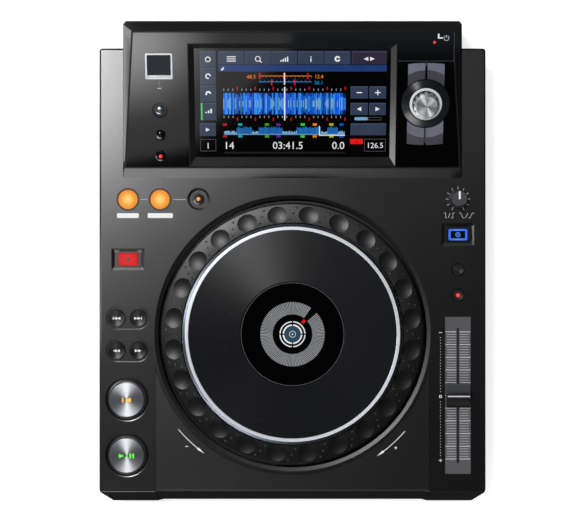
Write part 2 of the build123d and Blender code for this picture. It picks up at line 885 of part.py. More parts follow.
def make_encoder_rotor():
    """Rotor sleeve with its contact disc; the knob's shaft slides in it."""
    back = encoder_back()
    sleeve = tube(rotor_radius, rotary_shaft_radius + shaft_fit, back + 2.7, -0.2, rotary_x, rotary_v)
    disc = tube(5.1, rotary_shaft_radius + shaft_fit, back + 3.8, back + 5.2, rotary_x, rotary_v)
    return on_panel(sleeve + disc)


def make_rotary_knob():
    """Fluted metal knob with its push shaft."""
    low = knob_lift
    high = knob_lift + knob_height
    profile = [
        (0, low),
        (knob_radius, low),
        (knob_radius, high - 1.6),
        (knob_top_radius + 0.3, high - 0.3),
        (knob_top_radius, high),
        (0, high - 0.2),
    ]
    knob = turned(profile, rotary_x, rotary_v)
    for index in range(knob_flutes):
        angle = radians(index * 360 / knob_flutes)
        x = rotary_x + (knob_radius + flute_radius * 0.45) * cos(angle)
        v = rotary_v + (knob_radius + flute_radius * 0.45) * sin(angle)
        knob -= cylinder(flute_radius, low - 1, high + 1, x, v)
    shaft_end = encoder_back() + switch_clear()
    return on_panel(knob + cylinder(rotary_shaft_radius, shaft_end, low + 1, rotary_x, rotary_v))


def switch_clear():
    """Height of the knob's shaft over its push switch at rest."""
    return rotary_travel + 0.2


def key_corners():
    """The four selector keys as (side, upper) signs."""
    return [(-1, 1), (1, 1), (-1, -1), (1, -1)]


def key_prism(side, upper, grow, w0, w1):
    """Outline of one selector key: straight sides, a curved far end, and an arc round the collar."""
    low, high = key_half_gap - grow, key_reach + grow
    x0, x1 = (rotary_x + low, rotary_x + high) if side > 0 else (rotary_x - high, rotary_x - low)
    end_v = key_top_v if upper > 0 else key_bottom_v
    edge = end_v + upper * grow
    v0, v1 = min(rotary_v, edge), max(rotary_v, edge)
    bow = cylinder(key_end_radius, w0, w1, rotary_x, edge - upper * key_end_radius)
    clear = cylinder(collar_radius + moving_gap - grow + 0.2, w0 - 1, w1 + 1, rotary_x, rotary_v)
    return (block(x0, x1, v0, v1, w0, w1) & bow) - clear


def make_key(side, upper):
    """Selector key with a crest on an arc round the rotary, a flange behind and a stem."""
    low = -fascia_gauge - flange_gap
    crown = [
        (0, low - flange_gauge),
        (0, key_crest - key_fall),
        (collar_radius, key_crest - key_fall),
        (key_crest_radius, key_crest),
        (key_crest_radius + 9, key_crest - key_fall * 1.2),
        (key_crest_radius + 20, key_crest - key_fall * 1.2),
        (key_crest_radius + 20, low - flange_gauge),
    ]
    body = key_prism(side, upper, 0, low - flange_gauge, key_crest + 1) & turned(crown, rotary_x, rotary_v)
    centre_x = rotary_x + side * (key_half_gap + key_reach) / 2
    end_v = key_top_v if upper > 0 else key_bottom_v
    centre_v = end_v - upper * key_stem_inset
    width = key_reach - key_half_gap
    flange_v = end_v - upper * 4.0 + upper * flange_reach
    flange = centred(width - 0.6, 8.0, low - flange_gauge, low, centre_x, flange_v)
    stem = cylinder(stem_radius, switch_top_w(), low, centre_x, centre_v)
    return on_panel(body + flange + stem)


def switch_top_w():
    """Lower end of the stems behind the panel at rest."""
    return board_w() + switch_height + button_travel + 0.2


# ---- Buttons -----------------------------------------------------------------------------------
def button_hole(button, wall):
    """Hole and pocket of a round button below the surface z = 0."""
    hole = cylinder(button.radius + button_gap, -wall - 8, 2, button.x, button.y)
    if button.pocket_depth:
        cone = [
            (0, 0.5),
            (button.pocket_radius, 0.5),
            (button.pocket_radius, 0),
            (button.pocket_floor_radius, -button.pocket_depth),
            (0, -button.pocket_depth),
        ]
        hole += turned(cone, button.x, button.y)
    if button.inner_radius:
        hole += cylinder(button.inner_radius, -button.inner_depth, 0, button.x, button.y)
    return hole


def square_hole(button):
    """Hole and bevelled pocket of a rectangular button below the surface z = 0."""
    pocket = bevelled_pocket(
        button.pocket_width, button.pocket_length, button.pocket_depth, 2 * button.bevel, button.x, button.y
    )
    gap = 2 * button_gap
    return pocket + centred(button.width + gap, button.length + gap, -cover_wall - 8, 1, button.x, button.y)


def button_end(wall):
    """Lower end of a button's stem at rest, over its switch."""
    return -wall - board_drop + board_gauge + switch_height + button_travel + 0.2


def dome_middle(radius, rise):
    """Offset from the pole of a cap, halfway along its arc, for a cap of this rise over this radius."""
    sphere = (radius * radius + rise * rise) / (2 * abs(rise))
    half_angle = asin(radius / sphere) / 2
    drop = sphere * (1 - cos(half_angle))
    return sphere * sin(half_angle), drop if rise > 0 else -drop


def make_round_button(button, wall):
    """Round button: crowned or dished cap, retaining flange under the surface, and stem."""
    flange_top = -wall - flange_gap
    flange_low = flange_top - flange_gauge
    crown = button.crown
    pole = (0, button.rise if crown > 0 else button.rise + crown)
    lip = (button.radius if crown > 0 else button.radius - 0.3, button.rise - max(crown, 0))
    rim = Polyline(
        (0, button_end(wall)),
        (stem_radius, button_end(wall)),
        (stem_radius, flange_low),
        (button.radius + flange_reach, flange_low),
        (button.radius + flange_reach, flange_top),
        (button.radius, flange_top),
        (button.radius, button.rise - max(crown, 0.3)),
    )
    edges = rim if crown > 0 else rim + Line((button.radius, button.rise - 0.3), lip)
    if crown:
        out, drop = dome_middle(lip[0], crown)
        top = ThreePointArc(lip, (out, pole[1] - drop), pole)
    else:
        top = Line(lip, pole)
    face = make_face(edges + top + Line(pole, (0, button_end(wall))))
    return Pos(button.x, button.y, 0) * revolve(Plane.XZ * face, Axis.Z)


def make_square_button(button):
    """Rectangular button with softened edges, flange and stem."""
    flange_top = -cover_wall - flange_gap
    cap = centred(button.width, button.length, flange_top, button.rise, button.x, button.y, 0.6)
    cap = chamfer(cap.faces().sort_by(Axis.Z)[-1].edges(), 0.4)
    wide = button.width + 2 * flange_reach
    long = button.length + 2 * flange_reach
    flange = centred(wide, long, flange_top - flange_gauge, flange_top, button.x, button.y)
    stem = cylinder(stem_radius, button_end(cover_wall), flange_top, button.x, button.y)
    return cap + flange + stem


def make_transport_rings():
    """Two rings on the pocket floors round the large metal buttons."""
    rings = []
    for button in deck_round:
        if button.radius == transport_radius:
            floor = deck_z - button.pocket_depth
            inner = button.radius + metal_ring_gap
            outer = button.pocket_floor_radius - seat_gap
            profile = [
                (inner, floor),
                (outer, floor),
                (outer, floor + metal_ring_height * 0.6),
                (inner + 0.4, floor + metal_ring_height),
                (inner, floor + metal_ring_height),
            ]
            rings.append(turned(profile, button.x, button.y))
    return Compound(children=rings)


# ---- Jog wheel ---------------------------------------------------------------------------------
def make_jog_base():
    """Dish under the deck that forms the well of the jog wheel."""
    under = well_floor_z - well_gauge
    mouth = well_radius - well_bevel_width
    profile = [
        (post_shoulder_radius + seat_gap, under),
        (well_floor_radius + 1.6, under),
        (mouth + 1.8, deck_under - well_gauge),
        (well_radius + well_flange, deck_under - well_gauge),
        (well_radius + well_flange, deck_under),
        (mouth, deck_under),
        (well_floor_radius, well_floor_z),
        (post_shoulder_radius + seat_gap, well_floor_z),
    ]
    return turned(profile, 0, jog_y)


def make_jog_post():
    """Fixed hollow post: flange under the dish, shoulder for the bush, column up to the display."""
    under = well_floor_z - well_gauge
    shoulder_z = hub_bottom() - moving_gap
    column = bush_inner - post_fit
    profile = [
        (wire_bore_radius, under - 3),
        (post_flange_radius, under - 3),
        (post_flange_radius, under),
        (post_shoulder_radius, under),
        (post_shoulder_radius, shoulder_z),
        (column, shoulder_z),
        (column, post_top_z),
        (wire_bore_radius, post_top_z),
    ]
    return turned(profile, 0, jog_y)


def hub_bottom():
    """Lower end of the jog wheel's hub and bush."""
    return well_floor_z + 2.6


def make_jog_bearing():
    """Plain bush pressed into the hub, which turns on the post."""
    return tube(bush_outer, bush_inner, hub_bottom(), hub_bottom() + bush_length, 0, jog_y)


def jog_surface_z(radius):
    """Height of the jog ring's top surface at a radius: a flat arch, lower at its outer side."""
    share = (radius - jog_inner) / (jog_outer - jog_edge - jog_inner)
    return deck_z + jog_rise - 1.3 * share + 1.9 * share * (1 - share)


def make_jog_ring():
    """Outer wheel: hub, web, inner wall, dimpled arched rim and deep skirt, in one moulding."""
    top_inner = (jog_inner, jog_surface_z(jog_inner))
    middle_r = (jog_inner + jog_outer - jog_edge) / 2
    top_outer = (jog_outer - jog_edge, jog_surface_z(jog_outer - jog_edge))
    edge_end = (jog_outer - 0.1, top_outer[1] - 2.0)
    web_top = jog_web_z + jog_web_gauge
    under = deck_z + jog_rise - 5.2
    arch = ThreePointArc(top_inner, (middle_r, jog_surface_z(middle_r)), top_outer)
    shoulder = ThreePointArc(top_outer, (jog_outer - 0.55, top_outer[1] - 0.65), edge_end)
    outline = Polyline(
        edge_end,
        (jog_outer, jog_skirt_z),
        (jog_outer - jog_skirt_wall, jog_skirt_z),
        (jog_outer - jog_skirt_wall, under),
        (jog_inner + 3, under),
        (jog_inner + 3, jog_web_z),
        (encoder_wheel_inner + 4, jog_web_z),
        (encoder_wheel_inner + 4, encoder_wheel_z() + encoder_wheel_gauge),
        (encoder_wheel_inner, encoder_wheel_z() + encoder_wheel_gauge),
        (encoder_wheel_inner, jog_web_z),
        (jog_hub_radius, jog_web_z),
        (jog_hub_radius, hub_bottom()),
        (bush_outer, hub_bottom()),
        (bush_outer, hub_bottom() + bush_length),
        (jog_hub_radius, hub_bottom() + bush_length),
        (jog_hub_radius, web_top),
        (jog_inner, web_top),
        top_inner,
    )
    wheel = revolve(Plane.XZ * make_face(arch + shoulder + outline), Axis.Z)
    centre_z = jog_surface_z(dimple_radius_at) + dimple_sphere - dimple_depth
    for index in range(dimple_count):
        angle = dimple_start + index * 360 / dimple_count
        wheel -= Rot(0, 0, angle) * Pos(dimple_radius_at, 0, centre_z) * Sphere(dimple_sphere)
    return Pos(0, jog_y, 0) * wheel


def encoder_wheel_z():
    """Lower face of the slotted wheel under the jog wheel's web."""
    return jog_web_z - encoder_wheel_drop


def make_encoder_wheel():
    """Slotted disc that the optical sensor reads."""
    low = encoder_wheel_z()
    disc = tube(encoder_wheel_outer, encoder_wheel_inner, low, low + encoder_wheel_gauge)
    for index in range(encoder_slots):
        end = encoder_wheel_outer - 1.5
        half = encoder_slot_width / 2
        slot = block(end - encoder_slot_length, end, -half, half, low - 1, low + encoder_wheel_gauge + 1)
        disc -= Rot(0, 0, index * 360 / encoder_slots) * slot
    return Pos(0, jog_y, 0) * disc


def make_platter():
    """Touch plate: flat top, ledge for the trim ring, well for the display, foot and guide sleeve."""
    top = deck_z + platter_top
    under = top - platter_gauge
    foot_z = jog_web_z + jog_web_gauge + platter_travel + 0.1
    web_low = foot_z + 1.5
    foot_outer = platter_radius - platter_foot_inset
    profile = [
        (jog_hub_radius + moving_gap, foot_z),
        (jog_hub_radius + 2.5, foot_z),
        (jog_hub_radius + 2.5, web_low),
        (label_radius + 2, web_low),
        (label_radius + 2, under),
        (foot_outer - platter_foot_width, under),
        (foot_outer - platter_foot_width, foot_z),
        (foot_outer, foot_z),
        (foot_outer, under - platter_gauge),
        (platter_ledge, under - platter_gauge),
        (platter_ledge, under),
        (platter_radius, under),
        (platter_radius, top - 0.2),
        (platter_radius - 0.2, top),
        (label_radius + 0.4, top),
        (label_radius, top - 0.4),
        (label_radius, web_low + 2),
        (jog_hub_radius + moving_gap, web_low + 2),
    ]
    return turned(profile, 0, jog_y)


def make_trim_ring():
    """Bright ring round the touch plate with a sloping outer flank."""
    low = deck_z + platter_top - platter_gauge
    top = deck_z + platter_top + trim_rise
    inner = platter_radius + 0.1
    profile = [
        (inner, low),
        (trim_outer, low),
        (trim_outer, low + 0.9),
        (trim_flat_outer, top),
        (inner + 0.3, top),
        (inner, top - 0.3),
    ]
    return turned(profile, 0, jog_y)


def make_jog_display():
    """Fixed round display in the middle of the wheel, carried by the post."""
    top = deck_z + platter_top - 0.1
    radius = label_radius - display_gap
    profile = [
        (0, post_top_z),
        (radius, post_top_z),
        (radius, top - 0.4),
        (radius - 0.4, top),
        (0, top),
    ]
    return turned(profile, 0, jog_y)


# ---- Fader and speed knob ----------------------------------------------------------------------
def make_fader_plate():
    """Slotted scale plate of the tempo fader."""
    top = deck_z - fader_pocket + fader_plate_gauge
    low = deck_z - fader_pocket
    plate = centred(fader_plate_width, fader_plate_length, low, top, column_x, fader_y)
    return plate - centred(fader_slot_width, fader_slot_length, low - 1, top + 1, column_x, fader_y)


def make_fader_body():
    """Metal can of the fader with the channel that its slider runs in."""
    top = deck_under
    low = top - fader_body_depth
    can = centred(fader_body_width, fader_body_length, low, top, column_x, fader_y)
    can -= centred(fader_body_width - 4, fader_body_length - 6, low + 2, top - 2, column_x, fader_y)
    return can - centred(3.2, fader_slot_length + 2, top - 3, top + 1, column_x, fader_y)


def make_fader_cap():
    """Fader cap with two concave flanks and a ridge, its lever, and the slider inside the can."""
    low = deck_z + cap_lift
    top = low + cap_height
    half, ridge = cap_length / 2, cap_ridge / 2
    waist = (half + ridge) / 2 - 1.0
    waist_z = low + cap_height * 0.36
    front = ThreePointArc((-half + 0.5, low + 1.6), (-waist, waist_z), (-ridge, top))
    back = ThreePointArc((ridge, top), (waist, waist_z), (half - 0.5, low + 1.6))
    rest = Polyline((half - 0.5, low + 1.6), (half, low), (-half, low), (-half + 0.5, low + 1.6))
    face = Plane.YZ * make_face(front + Line((-ridge, top), (ridge, top)) + back + rest)
    cap = extrude(face, amount=cap_width / 2, both=True)
    slider_top = deck_under - 2.6
    lever = block(-lever_width / 2, lever_width / 2, -3, 3, slider_top - 1, low + 1)
    slider = centred(fader_body_width - 5.2, 10, slider_top - 5, slider_top)
    return Pos(column_x, fader_y, 0) * (cap + lever + slider)


def make_speed_knob():
    """Tapered knob with a pointer groove and its shaft."""
    low = deck_z + speed_lift
    top = low + speed_height
    shaft_end = pot_floor() + 0.5
    profile = [
        (0, shaft_end),
        (speed_shaft_radius, shaft_end),
        (speed_shaft_radius, low),
        (speed_base_radius, low),
        (speed_base_radius, low + 1.6),
        (speed_top_radius, top - 0.6),
        (speed_top_radius - 0.5, top),
        (0, top),
    ]
    knob = turned(profile, column_x, speed_y)
    edge_y = speed_y + speed_base_radius
    groove = block(column_x - 0.6, column_x + 0.6, speed_y + 0.5, edge_y, top - 0.5, top + 1)
    return knob - groove


def pot_floor():
    """Bottom of the bore in the speed knob's potentiometer."""
    return deck_under - pot_depth


# ---- Boards ------------------------------------------------------------------------------------
def component(size, x, y):
    """Block-shaped component standing on a board."""
    width, length, height = size
    return centred(width, length, board_top, board_top + height, x, y)


def make_main_board():
    """Main circuit board with its processor, heat sink, network chip and row of capacitors."""
    board = block(main_board_x0, main_board_x1, main_board_y0, main_board_y1, board_z, board_top)
    middle_x = (main_board_x0 + main_board_x1) / 2
    middle_y = (main_board_y0 + main_board_y1) / 2
    board += component(processor, middle_x, middle_y - 11)
    board += component(heat_sink, middle_x + 48, middle_y - 22)
    board += component(network_chip, middle_x - 54, middle_y - 25)
    for index in range(4):
        x = main_board_x1 - 4 * capacitor_radius - index * 3 * capacitor_radius
        board += cylinder(capacitor_radius, board_top, board_top + capacitor_height, x, main_board_y0 + 10)
    return board


def make_power_supply():
    """Mains supply board with its transformer, choke, capacitors and the power switch."""
    board = block(supply_x, supply_x + supply_width, supply_y, supply_y + supply_length, board_z, board_top)
    board += component(transformer, supply_x + 26, supply_y + 61)
    board += component(choke, supply_x + 62, supply_y + 64)
    for step in (12, 28):
        top = board_top + mains_capacitor_height
        board += cylinder(mains_capacitor_radius, board_top, top, supply_x + 18, supply_y + step)
    switch_end = rear_inner_y - flange_gap - power_stem - power_travel - 0.2
    board += block(power_x - 11, power_x + 11, supply_y + supply_length - 1, switch_end, board_z, board_top)
    board += block(power_x - 6, power_x + 6, switch_end - 13, switch_end, board_top, jack_z + 4)
    return board


def switches(places, top):
    """Push switches under the stems of the buttons."""
    return [centred(switch_size, switch_size, top, top + switch_height, x, y) for x, y in places]


def make_control_boards():
    """Button boards under the deck and behind the panel, and the jog wheel's sensor fork."""
    low = deck_under - board_drop
    top = low + board_gauge
    outer = half_width - control_board_edge
    inner = well_radius + control_board_well_gap
    back = lip_y - control_board_edge
    left = block(-outer, -inner, front_y + front_margin + 2, back, low, top)
    for y in screw_rows:
        left -= cylinder(screw_boss_radius + 1.5, low - 1, top + 1, -screw_x, y)
    loop_outs = [(b.x, b.y) for b in deck_round if -inner < b.x < 0]
    left += block(-inner - 1, loop_outs[-1][0] + 8.4, loop_y - 10, back, low, top)
    spots = [(b.x, b.y) for b in deck_round + deck_square if b.x < 0]
    for switch in switches(spots, top):
        left += switch
    right = block(inner, outer, master_tempo_y - 8, back, low, top)
    right -= cylinder(screw_boss_radius + 1.5, low - 1, top + 1, screw_x, screw_rows[1])
    for switch in switches([(b.x, b.y) for b in deck_round + deck_square if b.x > 0], top):
        right += switch
    right += centred(pot_size, pot_size, top, deck_under - 1.5, column_x, speed_y)
    right -= cylinder(speed_shaft_radius + shaft_fit, pot_floor(), deck_under + 1, column_x, speed_y)
    board_back = board_w() - board_gauge
    panel_left = block(port_x - 18.5, port_x + 18.5, 2.5, 58, board_back, board_w())
    for switch in switches([(b.x, b.y) for b in panel_round], board_w()):
        panel_left += switch
    low_v, high_v = key_bottom_v - 11, key_top_v + 8
    panel_right = block(rotary_x - 18.6, rotary_x + 18.6, low_v, high_v, board_back, board_w())
    spots = []
    for side, upper in key_corners():
        end_v = key_top_v if upper > 0 else key_bottom_v
        spots.append((rotary_x + side * (key_half_gap + key_reach) / 2, end_v - upper * key_stem_inset))
    for switch in switches(spots, board_w()):
        panel_right += switch
    return Compound(children=[left, right, on_panel(panel_left), on_panel(panel_right), make_sensor()])


def make_sensor():
    """Fork sensor on the dish floor, with the slotted wheel between its jaws."""
    wheel_low = encoder_wheel_z()
    wheel_top = wheel_low + encoder_wheel_gauge
    reach = encoder_wheel_outer - 7
    fork = block(-6, 6, reach, encoder_wheel_outer + 6, well_floor_z, wheel_top + 4.4)
    slot = block(-7, 7, reach - 1, encoder_wheel_outer + 1.5, wheel_low - 1, wheel_top + 1)
    return Pos(0, jog_y, 0) * (fork - slot)


# ---- Back --------------------------------------------------------------------------------------
def make_rear_panel():
    """Steel socket panel across the back recess."""
    half = unit_half_width - unit_wall - seat_gap
    panel_top = skirt_bottom_z - seat_gap
    plate = block(-half, half, rear_inner_y, rear_face_y, chassis_top, panel_top)
    cuts = [
        centred_y(inlet_well_width + 3.2, inlet_well_height + 3.2, inlet_x, inlet_z),
        centred_y(16.2, 13.7, lan_x, board_top + 6.85),
        centred_y(12.4, 11.2, usb_b_x, board_top + 5.6),
        centred_y(12.6, 8.6, power_x, jack_z),
    ]
    for cut in cuts:
        plate -= cut
    for x in jack_places:
        plate -= rod_y(jack_radius + 0.3, rear_inner_y - 5, back_y, x, jack_z)
    return plate


def centred_y(width, height, x, z, y0=None, y1=None):
    """Box along Y about a line, from the inside of the rear panel to its outside by default."""
    start = rear_inner_y - 5 if y0 is None else y0
    end = back_y if y1 is None else y1
    return block(x - width / 2, x + width / 2, start, end, z - height / 2, z + height / 2)


def rod_y(radius, y0, y1, x, z):
    """Cylinder along Y."""
    return Pos(x, y0, z) * Rot(-90, 0, 0) * Cylinder(radius, y1 - y0, align=ON_BASE)


def make_power_inlet():
    """Mains inlet: flanged body, well and three blades."""
    body = centred_y(inlet_well_width + 2.8, inlet_well_height + 2.8, inlet_x, inlet_z,
                     rear_face_y - inlet_depth, rear_face_y)
    rim_y = rear_face_y + inlet_flange
    body += centred_y(inlet_well_width + 6, inlet_well_height + 6, inlet_x, inlet_z, rear_face_y, rim_y)
    well_floor = rim_y - inlet_well_depth
    body -= centred_y(inlet_well_width, inlet_well_height, inlet_x, inlet_z, well_floor, back_y)
    for x, z in ((-7, -1), (7, -1), (0, 3)):
        body += centred_y(2, 4, inlet_x + x, inlet_z + z, well_floor - 1, well_floor + 12)
    return body


def make_lan_socket():
    """Network socket on the main board."""
    centre = board_top + 6.75
    body = centred_y(16, 13.5, lan_x, centre, rear_face_y - 20, rear_face_y + 0.4)
    body -= centred_y(11.8, 8.4, lan_x, centre - 0.6, rear_face_y - 13, back_y)
    return body - centred_y(4, 3, lan_x, centre - 5.4, rear_face_y - 13, back_y)


def make_usb_b_socket():
    """Computer socket on the main board, with its contact tongue."""
    centre = board_top + 5.5
    body = centred_y(12, 11, usb_b_x, centre, rear_face_y - 16, rear_face_y + 0.4)
    body -= centred_y(8.6, 7.9, usb_b_x, centre, rear_face_y - 11, back_y)
    return body + centred_y(5.6, 3.2, usb_b_x, centre, rear_face_y - 12, rear_face_y - 1.5)


def make_audio_jacks():
    """Three coaxial phono jacks: housing on the board, flange and hollow barrel."""
    jacks = []
    for x in jack_places:
        half = jack_z - board_top
        jack = centred_y(12, 2 * half, x, jack_z, rear_inner_y - 12, rear_inner_y)
        jack += rod_y(jack_radius, rear_inner_y - 1, rear_face_y + jack_flange + jack_length, x, jack_z)
        jack += rod_y(jack_radius + 1.2, rear_face_y, rear_face_y + jack_flange, x, jack_z)
        jacks.append(jack - rod_y(jack_bore, rear_inner_y - 4, back_y, x, jack_z))
    return Compound(children=jacks)


def make_power_button():
    """Power push button that goes through the rear panel."""
    flange_y = rear_inner_y - flange_gap
    button = centred_y(12, 8, power_x, jack_z, flange_y, rear_face_y + 4.4)
    button += centred_y(14, 10, power_x, jack_z, flange_y - flange_gauge, flange_y)
    button += centred_y(5, 4, power_x, jack_z, flange_y - power_stem, flange_y)
    return button


# ---- The assembly ------------------------------------------------------------------------------
def build():
    """Make every piece and file it under its node name."""
    parts["bottom_chassis"] = make_chassis()
    parts["feet"] = make_feet()
    parts["screws"] = make_screws()
    parts["top_cover"] = make_top_cover()
    parts["centre_panel"] = make_centre_panel()
    parts["display_housing"] = make_display_housing()
    parts["display_fascia"] = make_fascia()
    parts["screen_bezel"] = make_screen_bezel()
    parts["touch_screen"] = make_touch_screen()
    parts["display_module"] = make_display_module()
    parts["usb_frame"] = make_usb_frame()
    parts["usb_door"] = make_usb_door()
    parts["usb_socket"] = make_usb_socket()
    parts["rotary_collar"] = make_rotary_collar()
    parts["rotary_ring"] = make_rotary_ring()
    parts["rotary_encoder"] = make_rotary_encoder()
    parts["encoder_rotor"] = make_encoder_rotor()
    parts["rotary_knob"] = make_rotary_knob()
    key_names = ("back_key", "tag_key", "filter_key", "shortcut_key")
    for name, (side, upper) in zip(key_names, key_corners()):
        parts[name] = make_key(side, upper)
    for button in deck_round:
        parts[button.name] = Pos(0, 0, deck_z) * make_round_button(button, cover_wall)
    for button in deck_square:
        parts[button.name] = Pos(0, 0, deck_z) * make_square_button(button)
    for button in panel_round:
        parts[button.name] = on_panel(make_round_button(button, fascia_gauge))
    parts["transport_rings"] = make_transport_rings()
    parts["jog_base"] = make_jog_base()
    parts["jog_post"] = make_jog_post()
    parts["jog_bearing"] = make_jog_bearing()
    parts["jog_ring"] = make_jog_ring()
    parts["jog_encoder_wheel"] = make_encoder_wheel()
    parts["jog_platter"] = make_platter()
    parts["jog_trim_ring"] = make_trim_ring()
    parts["jog_display"] = make_jog_display()
    parts["fader_plate"] = make_fader_plate()
    parts["fader_body"] = make_fader_body()
    parts["fader_cap"] = make_fader_cap()
    parts["speed_knob"] = make_speed_knob()
    parts["main_board"] = make_main_board()
    parts["power_supply"] = make_power_supply()
    parts["control_boards"] = make_control_boards()
    parts["rear_panel"] = make_rear_panel()
    parts["power_inlet"] = make_power_inlet()
    parts["lan_socket"] = make_lan_socket()
    parts["usb_b_socket"] = make_usb_b_socket()
    parts["audio_jacks"] = make_audio_jacks()
    parts["power_button"] = make_power_button()


build()
os.makedirs("parts", exist_ok=True)
for node, shape in parts.items():
    export_step(shape, f"parts/{node}.step")
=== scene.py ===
"""Looks of a tabletop player for mixing music: finishes, printed marks, lit parts, studio and camera.

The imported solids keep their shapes. Every solid gets a finish here, and the marks, lamps, knurls and
screen tiles that lie on the solids are built as pieces that ride on the same bodies.
Sizes in the classes are millimetres in the frame of the solids, and Blender gets metres.
"""
import logging
import math
import random
from collections.abc import Sequence
from dataclasses import dataclass
from enum import Enum
from functools import cache

import bmesh
import bpy
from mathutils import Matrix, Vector


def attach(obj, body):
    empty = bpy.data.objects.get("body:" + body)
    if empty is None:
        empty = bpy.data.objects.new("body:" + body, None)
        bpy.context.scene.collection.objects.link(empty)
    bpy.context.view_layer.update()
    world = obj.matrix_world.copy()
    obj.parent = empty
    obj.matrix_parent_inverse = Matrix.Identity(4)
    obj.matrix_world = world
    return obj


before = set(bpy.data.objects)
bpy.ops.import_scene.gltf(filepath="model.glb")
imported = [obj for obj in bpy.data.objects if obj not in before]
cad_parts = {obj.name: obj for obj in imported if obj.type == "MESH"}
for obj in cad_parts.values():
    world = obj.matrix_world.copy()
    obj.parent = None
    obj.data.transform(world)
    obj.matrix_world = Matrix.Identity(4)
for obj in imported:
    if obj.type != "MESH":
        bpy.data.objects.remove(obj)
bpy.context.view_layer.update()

LOG = logging.getLogger("player")
MM = 0.001
DECK_TOP = 70.0
JOG_Y = -56.0
PANEL_FOOT = (0.0, 74.1, 76.5)
PANEL_RISE, PANEL_DEPTH = 30.5, 104.3
PANEL_TILT = math.atan2(PANEL_RISE, PANEL_DEPTH)
LAYER = 0.01
PRINT_FOOT = -0.04
DOME_SINK = 0.1
FONT_SIZE = 1.37

Point = tuple[float, float]
Place = tuple[float, float, float]
Bar = tuple[float, float, float, float]
Points = tuple[Point, ...]
Bars = tuple[Bar, ...]
Colour = tuple[int, int, int]


def linear(colour: Colour) -> tuple[float, float, float, float]:
    """Turns a display colour into the scene's linear light.

    Args:
        colour: Red, green and blue from 0 to 255.

    Returns:
        Red, green, blue and an alpha of one.
    """
    parts = []
    for value in colour:
        share = value / 255
        parts.append(share / 12.92 if share <= 0.04045 else ((share + 0.055) / 1.055) ** 2.4)
    return parts[0], parts[1], parts[2], 1.0


class Ink(Enum):
    """Colours of the prints, lamps and screen tiles."""

    WHITE = (236, 238, 240)
    GREY = (188, 190, 192)
    PALE = (206, 202, 206)
    SILVER = (172, 174, 178)
    # Painted highlight: pale lines in the gaps between the panel's keys.
    KEY_GAP_HIGHLIGHT = (150, 152, 156)
    FAINT = (126, 128, 132)
    # Painted shade: brown of the dark gaps round the lit loop buttons, with a painted amber glow.
    GAP_SHADE = (40, 17, 12)
    # Painted shade: black strip over the fader's slot, where there is only shade.
    BLACK = (2, 2, 2)
    DARK_RED = (70, 6, 8)
    RED = (240, 22, 24)
    DEEP_RED = (176, 10, 16)
    ORANGE = (255, 138, 12)
    CYAN = (24, 146, 206)
    PALE_BLUE = (138, 196, 240)
    SKY = (100, 160, 200)
    SEA = (22, 92, 160)
    BLUE = (16, 92, 214)
    BRIGHT_BLUE = (48, 148, 250)
    NAVY = (10, 40, 110)
    TITLE = (26, 56, 116)
    SLATE = (48, 60, 82)
    SLATE_EDGE = (66, 78, 102)
    PLUM = (44, 38, 58)
    PLUM_EDGE = (74, 66, 100)
    GREEN = (60, 222, 72)
    LEAF = (70, 170, 24)
    TEAL = (24, 176, 190)
    VIOLET = (110, 30, 180)
    YELLOW = (206, 196, 30)
    SHADE = (24, 24, 26)
    LINE = (84, 86, 90)


